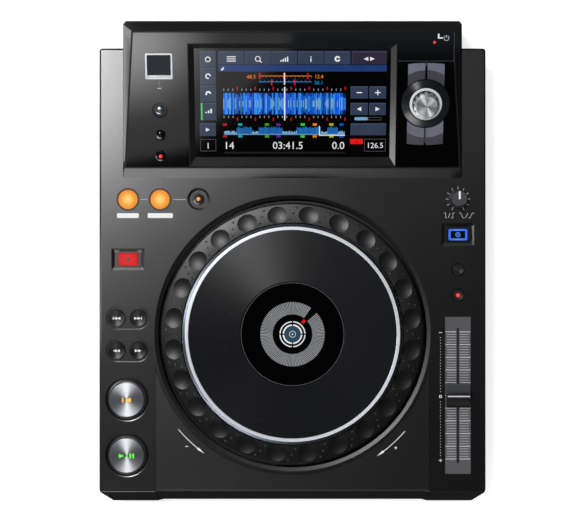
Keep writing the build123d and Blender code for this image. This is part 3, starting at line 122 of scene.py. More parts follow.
class Graph:
    """A node tree that is wired with short calls."""

    def __init__(self, tree: bpy.types.NodeTree) -> None:
        """Keeps a material's or a group's node tree."""
        self.tree = tree

    def node(self, kind: str, inputs: dict | None = None, **settings: object) -> bpy.types.Node:
        """Adds one node.

        Args:
            kind: The node's type name.
            inputs: Values or sockets for the node's inputs, by name or number.
            settings: Properties of the node.

        Returns:
            The new node.
        """
        made = self.tree.nodes.new(kind)
        for name, value in settings.items():
            setattr(made, name, value)
        for name, value in (inputs or {}).items():
            if isinstance(value, bpy.types.NodeSocket):
                self.tree.links.new(value, made.inputs[name])
            else:
                made.inputs[name].default_value = value
        return made

    def math(self, operation: str, *values: object) -> bpy.types.NodeSocket:
        """Adds a Math node over numbers or sockets, and gives the result's socket."""
        inputs = dict(enumerate(values))
        return self.node("ShaderNodeMath", inputs, operation=operation).outputs[0]

    def vector(self, operation: str, *values: object) -> bpy.types.NodeSocket:
        """Adds a Vector Math node over triples or sockets, and gives its vector or number."""
        made = self.node("ShaderNodeVectorMath", dict(enumerate(values)), operation=operation)
        return made.outputs["Value" if operation in ("LENGTH", "DOT_PRODUCT") else "Vector"]

    def ramp(self, value: object, low: object, high: object, start: object = 0.0,
             end: object = 1.0) -> bpy.types.NodeSocket:
        """Maps a range smoothly onto another.

        Args:
            value: What is mapped.
            low: Start of the range.
            high: End of the range.
            start: Result at the start.
            end: Result at the end.

        Returns:
            The mapped value's socket.
        """
        inputs = {"Value": value, "From Min": low, "From Max": high, "To Min": start, "To Max": end}
        made = self.node("ShaderNodeMapRange", inputs, interpolation_type="SMOOTHSTEP")
        return made.outputs["Result"]

    def mix(self, share: object, first: object, second: object,
            blend: str = "MIX") -> bpy.types.NodeSocket:
        """Mixes two colours by the share of the second, and gives the result's socket."""
        made = self.node("ShaderNodeMix", {0: share, 6: first, 7: second},
                         data_type="RGBA", blend_type=blend)
        return made.outputs[2]

    def place(self) -> bpy.types.NodeSocket:
        """Gives a point's place in the frame of the solids."""
        return self.node("ShaderNodeTexCoord").outputs["Object"]

    def arm(self, centre: Place) -> bpy.types.NodeSocket:
        """Gives the way to a point from a centre in millimetres."""
        return self.vector("SUBTRACT", self.place(), tuple(value * MM for value in centre))

    def upright(self) -> bpy.types.NodeSocket:
        """Gives the normal of the surface."""
        return self.node("ShaderNodeNewGeometry").outputs["Normal"]

    def pushed(self, upright: object, push: object) -> bpy.types.NodeSocket:
        """Gives a normal that is pushed to one side."""
        return self.vector("NORMALIZE", self.vector("ADD", upright, push))

    def noise(self, place: object, scale: object, detail: float = 2.0,
              rough: float = 0.5) -> bpy.types.NodeSocket:
        """Adds cloudy noise with so many clouds to a metre."""
        return self.node("ShaderNodeTexNoise", {"Vector": place, "Scale": scale, "Detail": detail,
                                                "Roughness": rough}).outputs[0]

    def bump(self, height: object, upright: object, strength: float,
             depth: float) -> bpy.types.NodeSocket:
        """Gives a normal with relief that is so many millimetres deep."""
        return self.node("ShaderNodeBump", {"Height": height, "Strength": strength,
                                            "Distance": depth * MM, "Normal": upright}).outputs[0]

    def effect(self, tree: bpy.types.NodeTree, inputs: dict) -> bpy.types.NodeOutputs:
        """Places a shared effect and gives its outputs."""
        return self.node("ShaderNodeGroup", inputs, node_tree=tree).outputs

    def surface(self, skin: bpy.types.NodeOutputs, inputs: dict) -> bpy.types.Node:
        """Adds the shader of a skin, with inputs besides the skin's own."""
        return self.node("ShaderNodeBsdfPrincipled", {
            "Base Color": skin["Colour"], "Roughness": skin["Roughness"], **inputs})


@dataclass(frozen=True)
class Socket:
    """One input or output of a shared effect."""

    name: str
    kind: str = "NodeSocketFloat"
    default: object = None


VECTOR = Socket("Vector", "NodeSocketVector")
COLOUR = Socket("Colour", "NodeSocketColor")
SKIN_TAKES = (VECTOR, COLOUR, Socket("Fleck", "NodeSocketColor"), Socket("Roughness", default=0.4),
              Socket("Scale", default=900.0), Socket("Flecks", default=0.5), Socket("Smudge", default=0.06))
SKIN_GIVES = (COLOUR, Socket("Roughness", default=0.4), Socket("Height"))


class Effects:
    """Effects that more than one finish uses, each a shader node group that is built once."""

    @staticmethod
    def start(name: str, takes: Sequence[Socket],
              gives: Sequence[Socket] = (COLOUR,)) -> tuple[Graph, bpy.types.NodeOutputs]:
        """Starts a node group.

        Args:
            name: The group's name.
            takes: Its inputs.
            gives: Its outputs.

        Returns:
            The group's tree, and the sockets that hold its inputs.
        """
        graph = Graph(bpy.data.node_groups.new(name, "ShaderNodeTree"))
        for way, sockets in (("INPUT", takes), ("OUTPUT", gives)):
            for socket in sockets:
                entry = graph.tree.interface.new_socket(socket.name, in_out=way, socket_type=socket.kind)
                if socket.default is not None:
                    entry.default_value = socket.default
        return graph, graph.node("NodeGroupInput").outputs

    @staticmethod
    def end(graph: Graph, results: dict[str, object]) -> bpy.types.NodeTree:
        """Joins the results to the outputs of a group, and gives its tree."""
        graph.node("NodeGroupOutput", results)
        return graph.tree

    @staticmethod
    def skin(graph: Graph, given: bpy.types.NodeOutputs, relief: object, cloud: object, low: float,
             high: float) -> bpy.types.NodeTree:
        """Ends a group whose flecks follow its relief, and whose gloss follows its clouds.

        Args:
            graph: The group's tree.
            given: Its inputs.
            relief: Fine relief.
            cloud: Wide clouds.
            low: Relief where flecks begin.
            high: Relief where they are full.

        Returns:
            The group's tree.
        """
        share = graph.math("MULTIPLY", graph.ramp(relief, low, high), given["Flecks"])
        rough = graph.math("MULTIPLY_ADD", graph.math("SUBTRACT", cloud, 0.5), given["Smudge"],
                           given["Roughness"])
        return Effects.end(graph, {"Colour": graph.mix(share, given["Colour"], given["Fleck"]),
                                   "Roughness": rough, "Height": relief})

    @staticmethod
    @cache
    def moulded() -> bpy.types.NodeTree:
        """Grain, flecks and handling smudges of moulded and painted parts.

        Returns:
            The group's tree.
        """
        graph, given = Effects.start("moulded", SKIN_TAKES, SKIN_GIVES)
        grain = graph.noise(given["Vector"], given["Scale"], rough=0.65)
        film = graph.noise(given["Vector"], scale=26.0, detail=3.0)
        return Effects.skin(graph, given, grain, film, low=0.42, high=0.68)

    @staticmethod
    @cache
    def turned() -> bpy.types.NodeTree:
        """Fine grooves that a lathe leaves round the axis of a part.

        Returns:
            The group's tree.
        """
        graph, given = Effects.start("turned", SKIN_TAKES, SKIN_GIVES)
        radius = graph.vector("LENGTH", given["Vector"])
        groove = graph.node("ShaderNodeTexNoise", {"W": radius, "Scale": given["Scale"], "Detail": 2.0},
                            noise_dimensions="1D").outputs[0]
        patch = graph.noise(given["Vector"], scale=220.0)
        return Effects.skin(graph, given, groove, patch, low=0.35, high=0.7)

    @staticmethod
    @cache
    def glow() -> bpy.types.NodeTree:
        """Light of a lamp under a cap: bright in the middle, deeper at the rim.

        Returns:
            The group's tree.
        """
        graph, given = Effects.start("glow", (VECTOR, Socket("Core", "NodeSocketColor"),
                                              Socket("Rim", "NodeSocketColor"),
                                              Socket("Radius", default=0.007)))
        share = graph.math("DIVIDE", graph.vector("LENGTH", given["Vector"]), given["Radius"])
        haze = graph.math("SUBTRACT", graph.noise(given["Vector"], scale=900.0), 0.5)
        share = graph.math("MULTIPLY_ADD", haze, 0.12, share)
        colour = graph.mix(graph.ramp(share, 0.05, 0.95), given["Core"], given["Rim"])
        return Effects.end(graph, {"Colour": colour})

    @staticmethod
    @cache
    def pixels() -> bpy.types.NodeTree:
        """Picture elements of a lit screen: rows that dim a little between them.

        Returns:
            The group's tree.
        """
        graph, given = Effects.start("pixels", (VECTOR, COLOUR, Socket("Scale", default=5200.0)))
        cells = graph.node("ShaderNodeTexWave", {"Vector": given["Vector"], "Scale": given["Scale"]},
                           wave_type="BANDS", bands_direction="Y").outputs["Fac"]
        haze = graph.noise(given["Vector"], scale=140.0)
        shade = graph.math("MULTIPLY", graph.ramp(cells, 0.0, 1.0, start=0.86, end=1.0),
                           graph.ramp(haze, 0.2, 0.8, start=0.9, end=1.08))
        dim = graph.node("ShaderNodeCombineColor", dict.fromkeys(range(3), shade)).outputs[0]
        return Effects.end(graph, {"Colour": graph.mix(1.0, given["Colour"], dim, "MULTIPLY")})

    @staticmethod
    @cache
    def scuffs() -> bpy.types.NodeTree:
        """Small rubbed spots and dust of handled and of painted metal parts.

        Returns:
            The group's tree.
        """
        graph, given = Effects.start("scuffs", (VECTOR, COLOUR, Socket("Worn", "NodeSocketColor"),
                                                Socket("Amount", default=0.3)))
        spots = graph.node("ShaderNodeTexVoronoi", {"Vector": given["Vector"], "Scale": 60.0}).outputs[0]
        cloud = graph.noise(given["Vector"], scale=18.0, detail=4.0)
        share = graph.math("MULTIPLY", graph.ramp(cloud, 0.5, 0.75),
                           graph.ramp(spots, 0.1, 0.6, start=1.0, end=0.2))
        share = graph.math("MULTIPLY", share, given["Amount"])
        return Effects.end(graph, {"Colour": graph.mix(share, given["Colour"], given["Worn"])})


class Finish:
    """A material that is made once, when it is first asked for."""

    made: dict[str, bpy.types.Material] = {}
    name: str

    def material(self) -> bpy.types.Material:
        """Gives the material, and builds it the first time.

        Returns:
            The material.
        """
        if self.name not in Finish.made:
            made, graph = blank(self.name)
            surface = self.wire(graph)
            graph.node("ShaderNodeOutputMaterial", {"Surface": surface.outputs[0]})
            Finish.made[self.name] = made
        return Finish.made[self.name]

    def wire(self, graph: Graph) -> bpy.types.Node:
        """Adds the finish's nodes to a material's tree, and gives the surface shader."""
        raise NotImplementedError


@dataclass(frozen=True)
class Moulded(Finish):
    """Moulded, painted or rubber surface. Grain is its size, and relief its depth, in millimetres."""

    name: str
    colour: Colour
    fleck: Colour
    roughness: float
    grain: float = 0.9
    relief: float = 0.02
    flecks: float = 0.5
    smudge: float = 0.06
    metallic: float = 0.0
    worn: float = 0.0
    flatten: float = 0.0
    front_lift: float = 0.0
    specular: float = 0.5
    shift: Place = (0.0, 0.0, 0.0)
    rubbed: Colour = (150, 150, 152)

    def wire(self, graph: Graph) -> bpy.types.Node:
        """Adds the nodes of the moulded surface.

        Args:
            graph: The material's tree.

        Returns:
            The surface shader.
        """
        place = graph.place()
        skin = graph.effect(Effects.moulded(), {
            "Vector": place, "Colour": self.tint(graph), "Fleck": linear(self.fleck),
            "Roughness": self.roughness, "Scale": 1 / (self.grain * MM), "Flecks": self.flecks,
            "Smudge": self.smudge})
        colour = skin["Colour"]
        if self.worn:
            colour = graph.effect(Effects.scuffs(), {"Vector": place, "Colour": colour, "Amount": self.worn,
                                                     "Worn": linear(self.rubbed)})["Colour"]
        upright = graph.upright()
        for amount, part, low, high in ((self.flatten, "Z", 0.7, 0.88),
                                        (self.front_lift, "Y", -0.5, -0.62)):
            if amount:
                slope = graph.node("ShaderNodeSeparateXYZ", {0: upright}).outputs[part]
                rise = graph.ramp(slope, low, high, start=0.0, end=amount)
                lift = graph.node("ShaderNodeCombineXYZ", {2: rise})
                upright = graph.pushed(upright, lift.outputs[0])
        if any(self.shift):
            upright = graph.pushed(upright, self.shift)
        return graph.surface(skin, {"Base Color": colour, "Metallic": self.metallic,
                                    "Specular IOR Level": self.specular,
                                    "Normal": graph.bump(skin["Height"], upright, 0.5, self.relief)})

    def tint(self, graph: Graph) -> object:
        """Gives the main colour, as a value or as a socket of the tree."""
        return linear(self.colour)


@dataclass(frozen=True)
class PaintedFacetLight(Moulded):
    """Moulded surface with painted light and shade: facets that face one way get the paler main colour, the
    others a darker painted shade.
    """

    # shade is painted shade on the facets that face away, and the main colour is painted light on the
    # facets that face this way.
    shade: Colour = (52, 52, 60)
    facing: Place = (0.0, math.cos(PANEL_TILT), math.sin(PANEL_TILT))

    def tint(self, graph: Graph) -> object:
        """Gives the colour with painted light and shade, by which way a facet faces."""
        share = graph.ramp(graph.vector("DOT_PRODUCT", graph.upright(), self.facing), -0.02, 0.02)
        return graph.mix(share, linear(self.shade), linear(self.colour))


@dataclass(frozen=True)
class Turned(Finish):
    """Metal or hard plastic turned on a lathe, with light drawn out along its radius."""

    name: str
    colour: Colour
    fleck: Colour
    roughness: float
    centre: Place
    tilt: float = 0.0
    grooves: float = 0.4
    relief: float = 0.004
    anisotropy: float = 0.8
    metallic: float = 1.0
    lean: float = 0.0
    twist: float = 0.0
    specular: float = 0.5
    shift: Place = (0.0, 0.0, 0.0)

    def wire(self, graph: Graph) -> bpy.types.Node:
        """Adds the nodes of the turned surface.

        Args:
            graph: The material's tree.

        Returns:
            The surface shader.
        """
        arm = graph.arm(self.centre)
        axis = (0.0, -math.sin(self.tilt), math.cos(self.tilt))
        flat = graph.vector("SUBTRACT", arm, graph.vector("PROJECT", arm, axis))
        spoke = graph.node("ShaderNodeVectorTransform", {0: graph.vector("NORMALIZE", flat)},
                           vector_type="VECTOR", convert_from="OBJECT", convert_to="WORLD").outputs[0]
        upright = graph.upright()
        if self.lean or self.twist:
            across = graph.vector("CROSS_PRODUCT", axis, spoke)
            upright = graph.vector("ADD", upright, graph.vector("MULTIPLY", spoke, (self.lean,) * 3))
            upright = graph.pushed(upright, graph.vector("MULTIPLY", across, (self.twist,) * 3))
        if any(self.shift):
            upright = graph.pushed(upright, self.shift)
        skin = graph.effect(Effects.turned(), {
            "Vector": flat, "Colour": linear(self.colour), "Fleck": linear(self.fleck),
            "Roughness": self.roughness, "Scale": 1 / (self.grooves * MM), "Flecks": 0.6, "Smudge": 0.08})
        return graph.surface(skin, {"Metallic": self.metallic, "Anisotropic": self.anisotropy,
                                    "Specular IOR Level": self.specular, "Tangent": spoke,
                                    "Normal": graph.bump(skin["Height"], upright, 0.4, self.relief)})


@dataclass(frozen=True)
class Lamp(Finish):
    """Translucent cap with a lamp under it."""

    name: str
    core: Colour
    rim: Colour
    centre: Place
    radius: float
    strength: float = 1.0
    body: Colour = (60, 40, 20)
    roughness: float = 0.35
    specular: float = 0.5

    def wire(self, graph: Graph) -> bpy.types.Node:
        """Adds the nodes of the lit cap.

        Args:
            graph: The material's tree.

        Returns:
            The surface shader.
        """
        light = graph.effect(Effects.glow(), {"Vector": graph.arm(self.centre), "Core": linear(self.core),
                                              "Rim": linear(self.rim), "Radius": self.radius * MM})
        skin = graph.effect(Effects.moulded(), {
            "Vector": graph.place(), "Colour": linear(self.body), "Fleck": linear(self.rim),
            "Roughness": self.roughness, "Scale": 1400.0, "Flecks": 0.2, "Smudge": 0.05})
        return graph.surface(skin, {"Specular IOR Level": self.specular, "Emission Color": light["Colour"],
                                    "Emission Strength": self.strength})


@dataclass(frozen=True)
class Tile(Finish):
    """Lit area of the touch screen, seen through its glass."""

    name: str
    colour: Colour
    strength: float = 1.0

    def wire(self, graph: Graph) -> bpy.types.Node:
        """Adds the nodes of the lit area.

        Args:
            graph: The material's tree.

        Returns:
            The surface shader.
        """
        place = graph.place()
        light = graph.effect(Effects.pixels(), {"Vector": place, "Colour": linear(self.colour),
                                                "Scale": 900.0})
        skin = graph.effect(Effects.moulded(), {
            "Vector": place, "Colour": linear((6, 6, 7)), "Fleck": linear((10, 10, 12)),
            "Roughness": 0.12, "Scale": 300.0, "Flecks": 0.5, "Smudge": 0.04})
        return graph.surface(skin, {"Emission Color": light["Colour"], "Emission Strength": self.strength})


def ink(shade: Ink) -> Moulded:
    """Gives the finish of a mark that is printed in one of the inks."""
    paler = tuple(max(0, value - 26) for value in shade.value)
    return Moulded(f"print_{shade.name.lower()}", shade.value, paler, 0.5, grain=0.4, relief=0.004,
                   flecks=0.35)


def lit(shade: Ink, strength: float = 1.0) -> Tile:
    """Gives the finish of a lit mark, where a strength of 1 shows the colour as written."""
    return Tile(f"screen_{shade.name.lower()}_{round(strength * 100)}", shade.value, strength)


@dataclass(frozen=True)
class Ground:
    """A flat place that thin marks lie on. Marks take x to the right and y up along its slope."""

    origin: Place
    tilt: float = 0.0

    def at(self, x: float, y: float, lift: float) -> Vector:
        """Gives a point over the ground.

        Args:
            x: To the right.
            y: Up the slope.
            lift: Away from the surface.

        Returns:
            The point in metres, in the frame of the solids.
        """
        c, s = math.cos(self.tilt), math.sin(self.tilt)
        ox, oy, oz = self.origin
        return Vector(((ox + x) * MM, (oy + y * c - lift * s) * MM, (oz + y * s + lift * c) * MM))


DECK = Ground((0.0, 0.0, DECK_TOP))
PANEL = Ground(PANEL_FOOT, PANEL_TILT)


def disc(x: float, y: float, radius: float, sides: int = 40) -> list[Point]:
    """Gives the outline of a disc, counter-clockwise, with so many corners."""
    turn = 2 * math.pi / sides
    return [(x + radius * math.cos(turn * i), y + radius * math.sin(turn * i)) for i in range(sides)]


def oblong(x0: float, y0: float, x1: float, y1: float, corner: float = 0.0, steps: int = 5) -> list[Point]:
    """Gives the outline of a rectangle with round corners.

    Args:
        x0: Left side.
        y0: Lower side.
        x1: Right side.
        y1: Upper side.
        corner: Radius of the corners.
        steps: Points of each corner's arc.

    Returns:
        The outline, counter-clockwise.
    """
    if corner <= 0:
        return [(x0, y0), (x1, y0), (x1, y1), (x0, y1)]
    made = []
    for cx, cy, start in ((x1 - corner, y0 + corner, -90), (x1 - corner, y1 - corner, 0),
                          (x0 + corner, y1 - corner, 90), (x0 + corner, y0 + corner, 180)):
        for step in range(steps + 1):
            angle = math.radians(start + 90 * step / steps)
            made.append((cx + corner * math.cos(angle), cy + corner * math.sin(angle)))
    return made


def walls(form: bmesh.types.BMesh, low: list[bmesh.types.BMVert], high: list[bmesh.types.BMVert],
          index: int = 0, closed: bool = True) -> None:
    """Joins two rows of points with faces.

    Args:
        form: What the faces are added to.
        low: First row.
        high: Second row, with as many points.
        index: Material number.
        closed: False for rows with two ends.
    """
    count = len(low)
    for i in range(count if closed else count - 1):
        j = (i + 1) % count
        form.faces.new((low[i], low[j], high[j], high[i])).material_index = index


class Inlay:
    """Thin shapes on one ground, gathered into one piece. A higher layer covers a lower one."""

    def __init__(self, name: str, ground: Ground, lift: float = 0.05) -> None:
        """Starts an empty piece.

        Args:
            name: The piece's name.
            ground: What the shapes lie on.
            lift: Height of layer 0 over the ground.
        """
        self.name = name
        self.ground = ground
        self.lift = lift
        self.form = bmesh.new()
        self.finishes: list[Finish] = []

    def _index(self, finish: Finish) -> int:
        """Gives the material number of a finish, and adds the finish when it is new."""
        if finish not in self.finishes:
            self.finishes.append(finish)
        return self.finishes.index(finish)

    def _row(self, outline: Sequence[Point], rise: float) -> list[bmesh.types.BMVert]:
        """Adds an outline's corners at one height over the ground."""
        return [self.form.verts.new(self.ground.at(x, y, rise)) for x, y in outline]

    def slab(self, outline: Sequence[Point], finish: Finish, layer: int = 0) -> None:
        """Adds a flat shape.

        Args:
            outline: Its outline, counter-clockwise.
            finish: Its finish.
            layer: Its layer.
        """
        index = self._index(finish)
        low, high = self._row(outline, PRINT_FOOT), self._row(outline, self.lift + layer * LAYER)
        self.form.faces.new(high).material_index = index
        self.form.faces.new(low[::-1]).material_index = index
        walls(self.form, low, high, index)

    def bar(self, x0: float, y0: float, x1: float, y1: float, finish: Finish, layer: int = 0) -> None:
        """Adds a rectangle, from its lower left to its upper right corner."""
        self.slab(oblong(x0, y0, x1, y1), finish, layer)

    def hoop(self, outer: Sequence[Point], inner: Sequence[Point], finish: Finish, closed: bool = True,
             layer: int = 0, drop: float = 0.0, foot: float = PRINT_FOOT) -> None:
        """Adds the strip between two outlines of as many points.

        Args:
            outer: Outer or right-hand outline.
            inner: Inner or left-hand outline.
            finish: Its finish.
            closed: False for a strip with two ends.
            layer: Its layer.
            drop: How far its top slopes down to its inner side.
            foot: Height of its underside.
        """
        index = self._index(finish)
        top = self.lift + layer * LAYER
        rows = [self._row(outline, rise) for outline, rise in
                ((outer, foot), (outer, top + drop), (inner, top), (inner, foot))]
        for first, second in zip(rows, rows[1:] + rows[:1]):
            walls(self.form, first, second, index, closed)
        if not closed:
            for end in (0, -1):
                self.form.faces.new([row[end] for row in rows]).material_index = index

    def arc(self, x: float, y: float, inner: float, outer: float, start: float, end: float,
            finish: Finish, steps: int = 24, layer: int = 0) -> None:
        """Adds part of a ring.

        Args:
            x: Centre.
            y: Centre.
            inner: Inner radius.
            outer: Outer radius.
            start: First angle, in degrees from the right, counter-clockwise.
            end: Last angle.
            finish: Its finish.
            steps: Number of faces along it.
            layer: Its layer.
        """
        angles = [math.radians(start + (end - start) * i / steps) for i in range(steps + 1)]
        rows = [[(x + r * math.cos(a), y + r * math.sin(a)) for a in angles] for r in (outer, inner)]
        self.hoop(rows[0], rows[1], finish, False, layer)

    def stroke(self, points: Sequence[Point], width: float, finish: Finish, layer: int = 0) -> None:
        """Adds a line of one width.

        Args:
            points: What it passes through.
            width: Its width.
            finish: Its finish.
            layer: Its layer.
        """
        sides: tuple[list[Point], list[Point]] = ([], [])
        for i, (x, y) in enumerate(points):
            before = Vector(points[max(i - 1, 0)])
            after = Vector(points[min(i + 1, len(points) - 1)])
            here = Vector((x, y))
            into = (here - before).normalized() if i else (after - here).normalized()
            out = (after - here).normalized() if i < len(points) - 1 else into
            mid = (into + out).normalized()
            reach = width / 2 / max(0.5, mid.dot(into))
            sides[0].append((x + mid.y * reach, y - mid.x * reach))
            sides[1].append((x - mid.y * reach, y + mid.x * reach))
        self.hoop(sides[0], sides[1], finish, False, layer)

    def figures(self, text: str, x: float, y: float, height: float, finish: Finish,
                align: str = "LEFT", layer: int = 0) -> None:
        """Adds numbers and signs.

        Args:
            text: Digits and signs.
            x: Where it starts, ends or has its middle, as align says.
            y: Its foot.
            height: Height of a digit.
            finish: Its finish.
            align: LEFT, CENTER or RIGHT.
            layer: Its layer.
        """
        index = self._index(finish)
        curve = bpy.data.curves.new("figures", "FONT")
        curve.body, curve.size, curve.align_x = text, height * FONT_SIZE, align
        curve.resolution_u = 3
        holder = bpy.data.objects.new("figures", curve)
        bpy.context.scene.collection.objects.link(holder)
        graph = bpy.context.evaluated_depsgraph_get()
        flat = bpy.data.meshes.new_from_object(holder.evaluated_get(graph))
        points = self._row([(x + v.co.x, y + v.co.y) for v in flat.vertices], self.lift + layer * LAYER)
        for face in flat.polygons:
            self.form.faces.new([points[i] for i in face.vertices]).material_index = index
        bpy.data.objects.remove(holder)
        bpy.data.curves.remove(curve)
        bpy.data.meshes.remove(flat)

    def place(self, body: str, slot: str) -> None:
        """Makes the piece and puts it on its body."""
        settle(self.name, self.form, self.finishes, body)


def model(name: str, form: bmesh.types.BMesh, materials: Sequence[bpy.types.Material]) -> bpy.types.Object:
    """Makes an object of a form.

    Args:
        name: The object's name.
        form: Its form, which is used up.
        materials: Its materials, by material number.

    Returns:
        The object, linked to the scene.
    """
    mesh = bpy.data.meshes.new(name)
    form.to_mesh(mesh)
    form.free()
    for material in materials:
        mesh.materials.append(material)
    made = bpy.data.objects.new(name, mesh)
    bpy.context.scene.collection.objects.link(made)
    return made


def settle(name: str, form: bmesh.types.BMesh, finishes: Sequence[Finish], body: str,
           smooth: bool = False) -> None:
    """Makes a piece of a form and puts it on its body.

    Args:
        name: The piece's name.
        form: Its form, which is used up.
        finishes: Its finishes, by material number.
        body: The body that it rides on.
        smooth: True for smooth shading.
    """
    bmesh.ops.recalc_face_normals(form, faces=form.faces)
    piece = model(name, form, [finish.material() for finish in finishes])
    if smooth:
        piece.data.shade_smooth()
    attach(piece, body)
    LOG.info("piece %s: %d faces on %s", name, len(piece.data.polygons), body)


def dress(node: str, finish: Finish) -> None:
    """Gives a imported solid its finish."""
    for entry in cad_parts[node].material_slots:
        entry.material = finish.material()
    LOG.info("solid %s: %s", node, finish.name)


def dress_all(finishes: dict[str, Finish]) -> None:
    """Gives each named solid its finish."""
    for node, finish in finishes.items():
        dress(node, finish)


SHELL = Moulded("shell", (12, 12, 13), (17, 17, 18), 0.225, grain=0.5, relief=0.005, smudge=0.03)
GRAINED = Moulded("grained", (12, 12, 13), (19, 19, 20), 0.27, grain=1.3, relief=0.03, flecks=0.6,
                  smudge=0.04)
HOUSING = Moulded("housing", (15, 15, 16), (22, 22, 23), 0.3, grain=1.1, relief=0.05, flecks=0.6,
                  front_lift=0.29)
FASCIA = Moulded("fascia", (3, 3, 4), (6, 6, 7), 0.055, grain=2.0, relief=0.0006, smudge=0.01)
GLASS = Moulded("screen_glass", (3, 3, 4), (6, 6, 8), 0.06, grain=3.0, relief=0.0004, smudge=0.01)
HUB = Moulded("hub_glass", (2, 2, 3), (4, 4, 5), 0.05, grain=3.0, relief=0.0004, smudge=0.01)
BEZEL = Moulded("bezel", (9, 9, 10), (14, 14, 15), 0.25, grain=0.8, relief=0.008)
DARK = Moulded("dark_cap", (14, 14, 16), (22, 22, 24), 0.34, grain=0.7, relief=0.01)
GLOSSY = Moulded("glossy_black", (8, 8, 9), (14, 14, 16), 0.12, grain=1.2, relief=0.001, flecks=0.4,
                 smudge=0.03)
FADER = Moulded("fader_plate_grey", (72, 72, 76), (82, 82, 86), 0.55, grain=0.6, relief=0.01, flecks=0.6)
# The keys' facets that face up the panel are painted lighter, and the others take the painted shade (52,
# 52, 60).
SLATE = PaintedFacetLight("key_slate", (98, 99, 116), (90, 91, 106), 0.42, grain=0.5, relief=0.01, flecks=0.3)
STEEL = Moulded("steel", (150, 152, 156), (172, 174, 178), 0.34, grain=1.4, relief=0.006, smudge=0.12,
                metallic=1.0, worn=0.2)
PAINTED = Moulded("painted_steel", (26, 26, 27), (38, 38, 40), 0.55, grain=0.7, relief=0.04, flecks=0.6,
                  smudge=0.1, worn=0.25)
CHROME = Moulded("bright_frame", (214, 216, 220), (232, 234, 236), 0.22, grain=1.2, relief=0.002,
                 smudge=0.08, metallic=0.4)
RUBBER = Moulded("rubber", (22, 22, 22), (36, 36, 35), 0.8, grain=0.8, relief=0.05, flecks=0.6)
BOARD = Moulded("board", (16, 74, 44), (28, 96, 60), 0.45, grain=2.2, relief=0.01, flecks=0.6)
BRASS = Moulded("brass", (196, 160, 92), (214, 182, 116), 0.3, grain=1.0, relief=0.004, smudge=0.1,
                metallic=1.0)
SOCKET = Moulded("socket_black", (12, 12, 13), (20, 20, 21), 0.5, grain=0.8)
FLAP = Moulded("port_flap", (34, 39, 45), (44, 50, 57), 0.55, grain=0.8, relief=0.01, specular=0.15)
RING = Moulded("wheel_ring", (12, 12, 14), (17, 17, 19), 0.25, grain=0.6, relief=0.004, smudge=0.04,
               flatten=3.0, specular=0.15, shift=(-0.048, 0.022, 0.0))
RIDGE = Moulded("wheel_ridge", (16, 16, 18), (22, 22, 24), 0.28, grain=0.6, relief=0.004, smudge=0.04,
                flatten=0.8)
KNURL = Moulded("knurl", (84, 88, 98), (140, 144, 154), 0.3, grain=0.5, relief=0.004, smudge=0.1,
                metallic=1.0)
PLATTER = Turned("platter", (19, 20, 22), (24, 25, 28), 0.26, (0.0, JOG_Y, 89.0), grooves=0.9,
                 relief=0.001, anisotropy=0.44, metallic=0.0, lean=0.05, twist=0.03, specular=0.12)
TRIM = Turned("trim_ring", (200, 204, 210), (216, 220, 226), 0.36, (0.0, JOG_Y, 90.0), grooves=0.6,
              relief=0.002, anisotropy=0.4, metallic=0.5)
COLLAR = Turned("collar_black", (20, 22, 24), (34, 36, 40), 0.24, (103.7, 123.8, 108.0), tilt=PANEL_TILT,
                grooves=0.9, relief=0.006, anisotropy=0.6, metallic=0.2)


class Side(Enum):
    """Which way a transport sign points."""

    BACK = -1
    FORWARD = 1


def triangle(x: float, y: float, width: float, height: float, side: Side) -> list[Point]:
    """Gives the outline of a pointing triangle.

    Args:
        x: Middle of its width.
        y: Middle of its height.
        width: Width.
        height: Height.
        side: Which way it points.

    Returns:
        The outline, counter-clockwise.
    """
    base, tip = x - side.value * width / 2, x + side.value * width / 2
    corners = [(base, y - height / 2), (tip, y), (base, y + height / 2)]
    return corners if side is Side.FORWARD else corners[::-1]


@dataclass
class Casework:
    """Shell, chassis, back and everything inside."""

    metal: tuple[str, ...] = ("bottom_chassis", "rear_panel")
    boards: tuple[str, ...] = ("main_board", "power_supply", "control_boards")
    sockets: tuple[str, ...] = ("screws", "lan_socket", "usb_b_socket", "audio_jacks")

    def build(self) -> None:
        """Gives each solid its finish."""
        dress_all(dict.fromkeys(self.metal, PAINTED))
        dress_all(dict.fromkeys(self.sockets, STEEL))
        dress_all({"feet": RUBBER, "top_cover": SHELL, "centre_panel": GRAINED,
                   "display_housing": HOUSING, "power_inlet": SOCKET, "power_button": DARK})
        dress_all(dict.fromkeys(self.boards, BOARD))


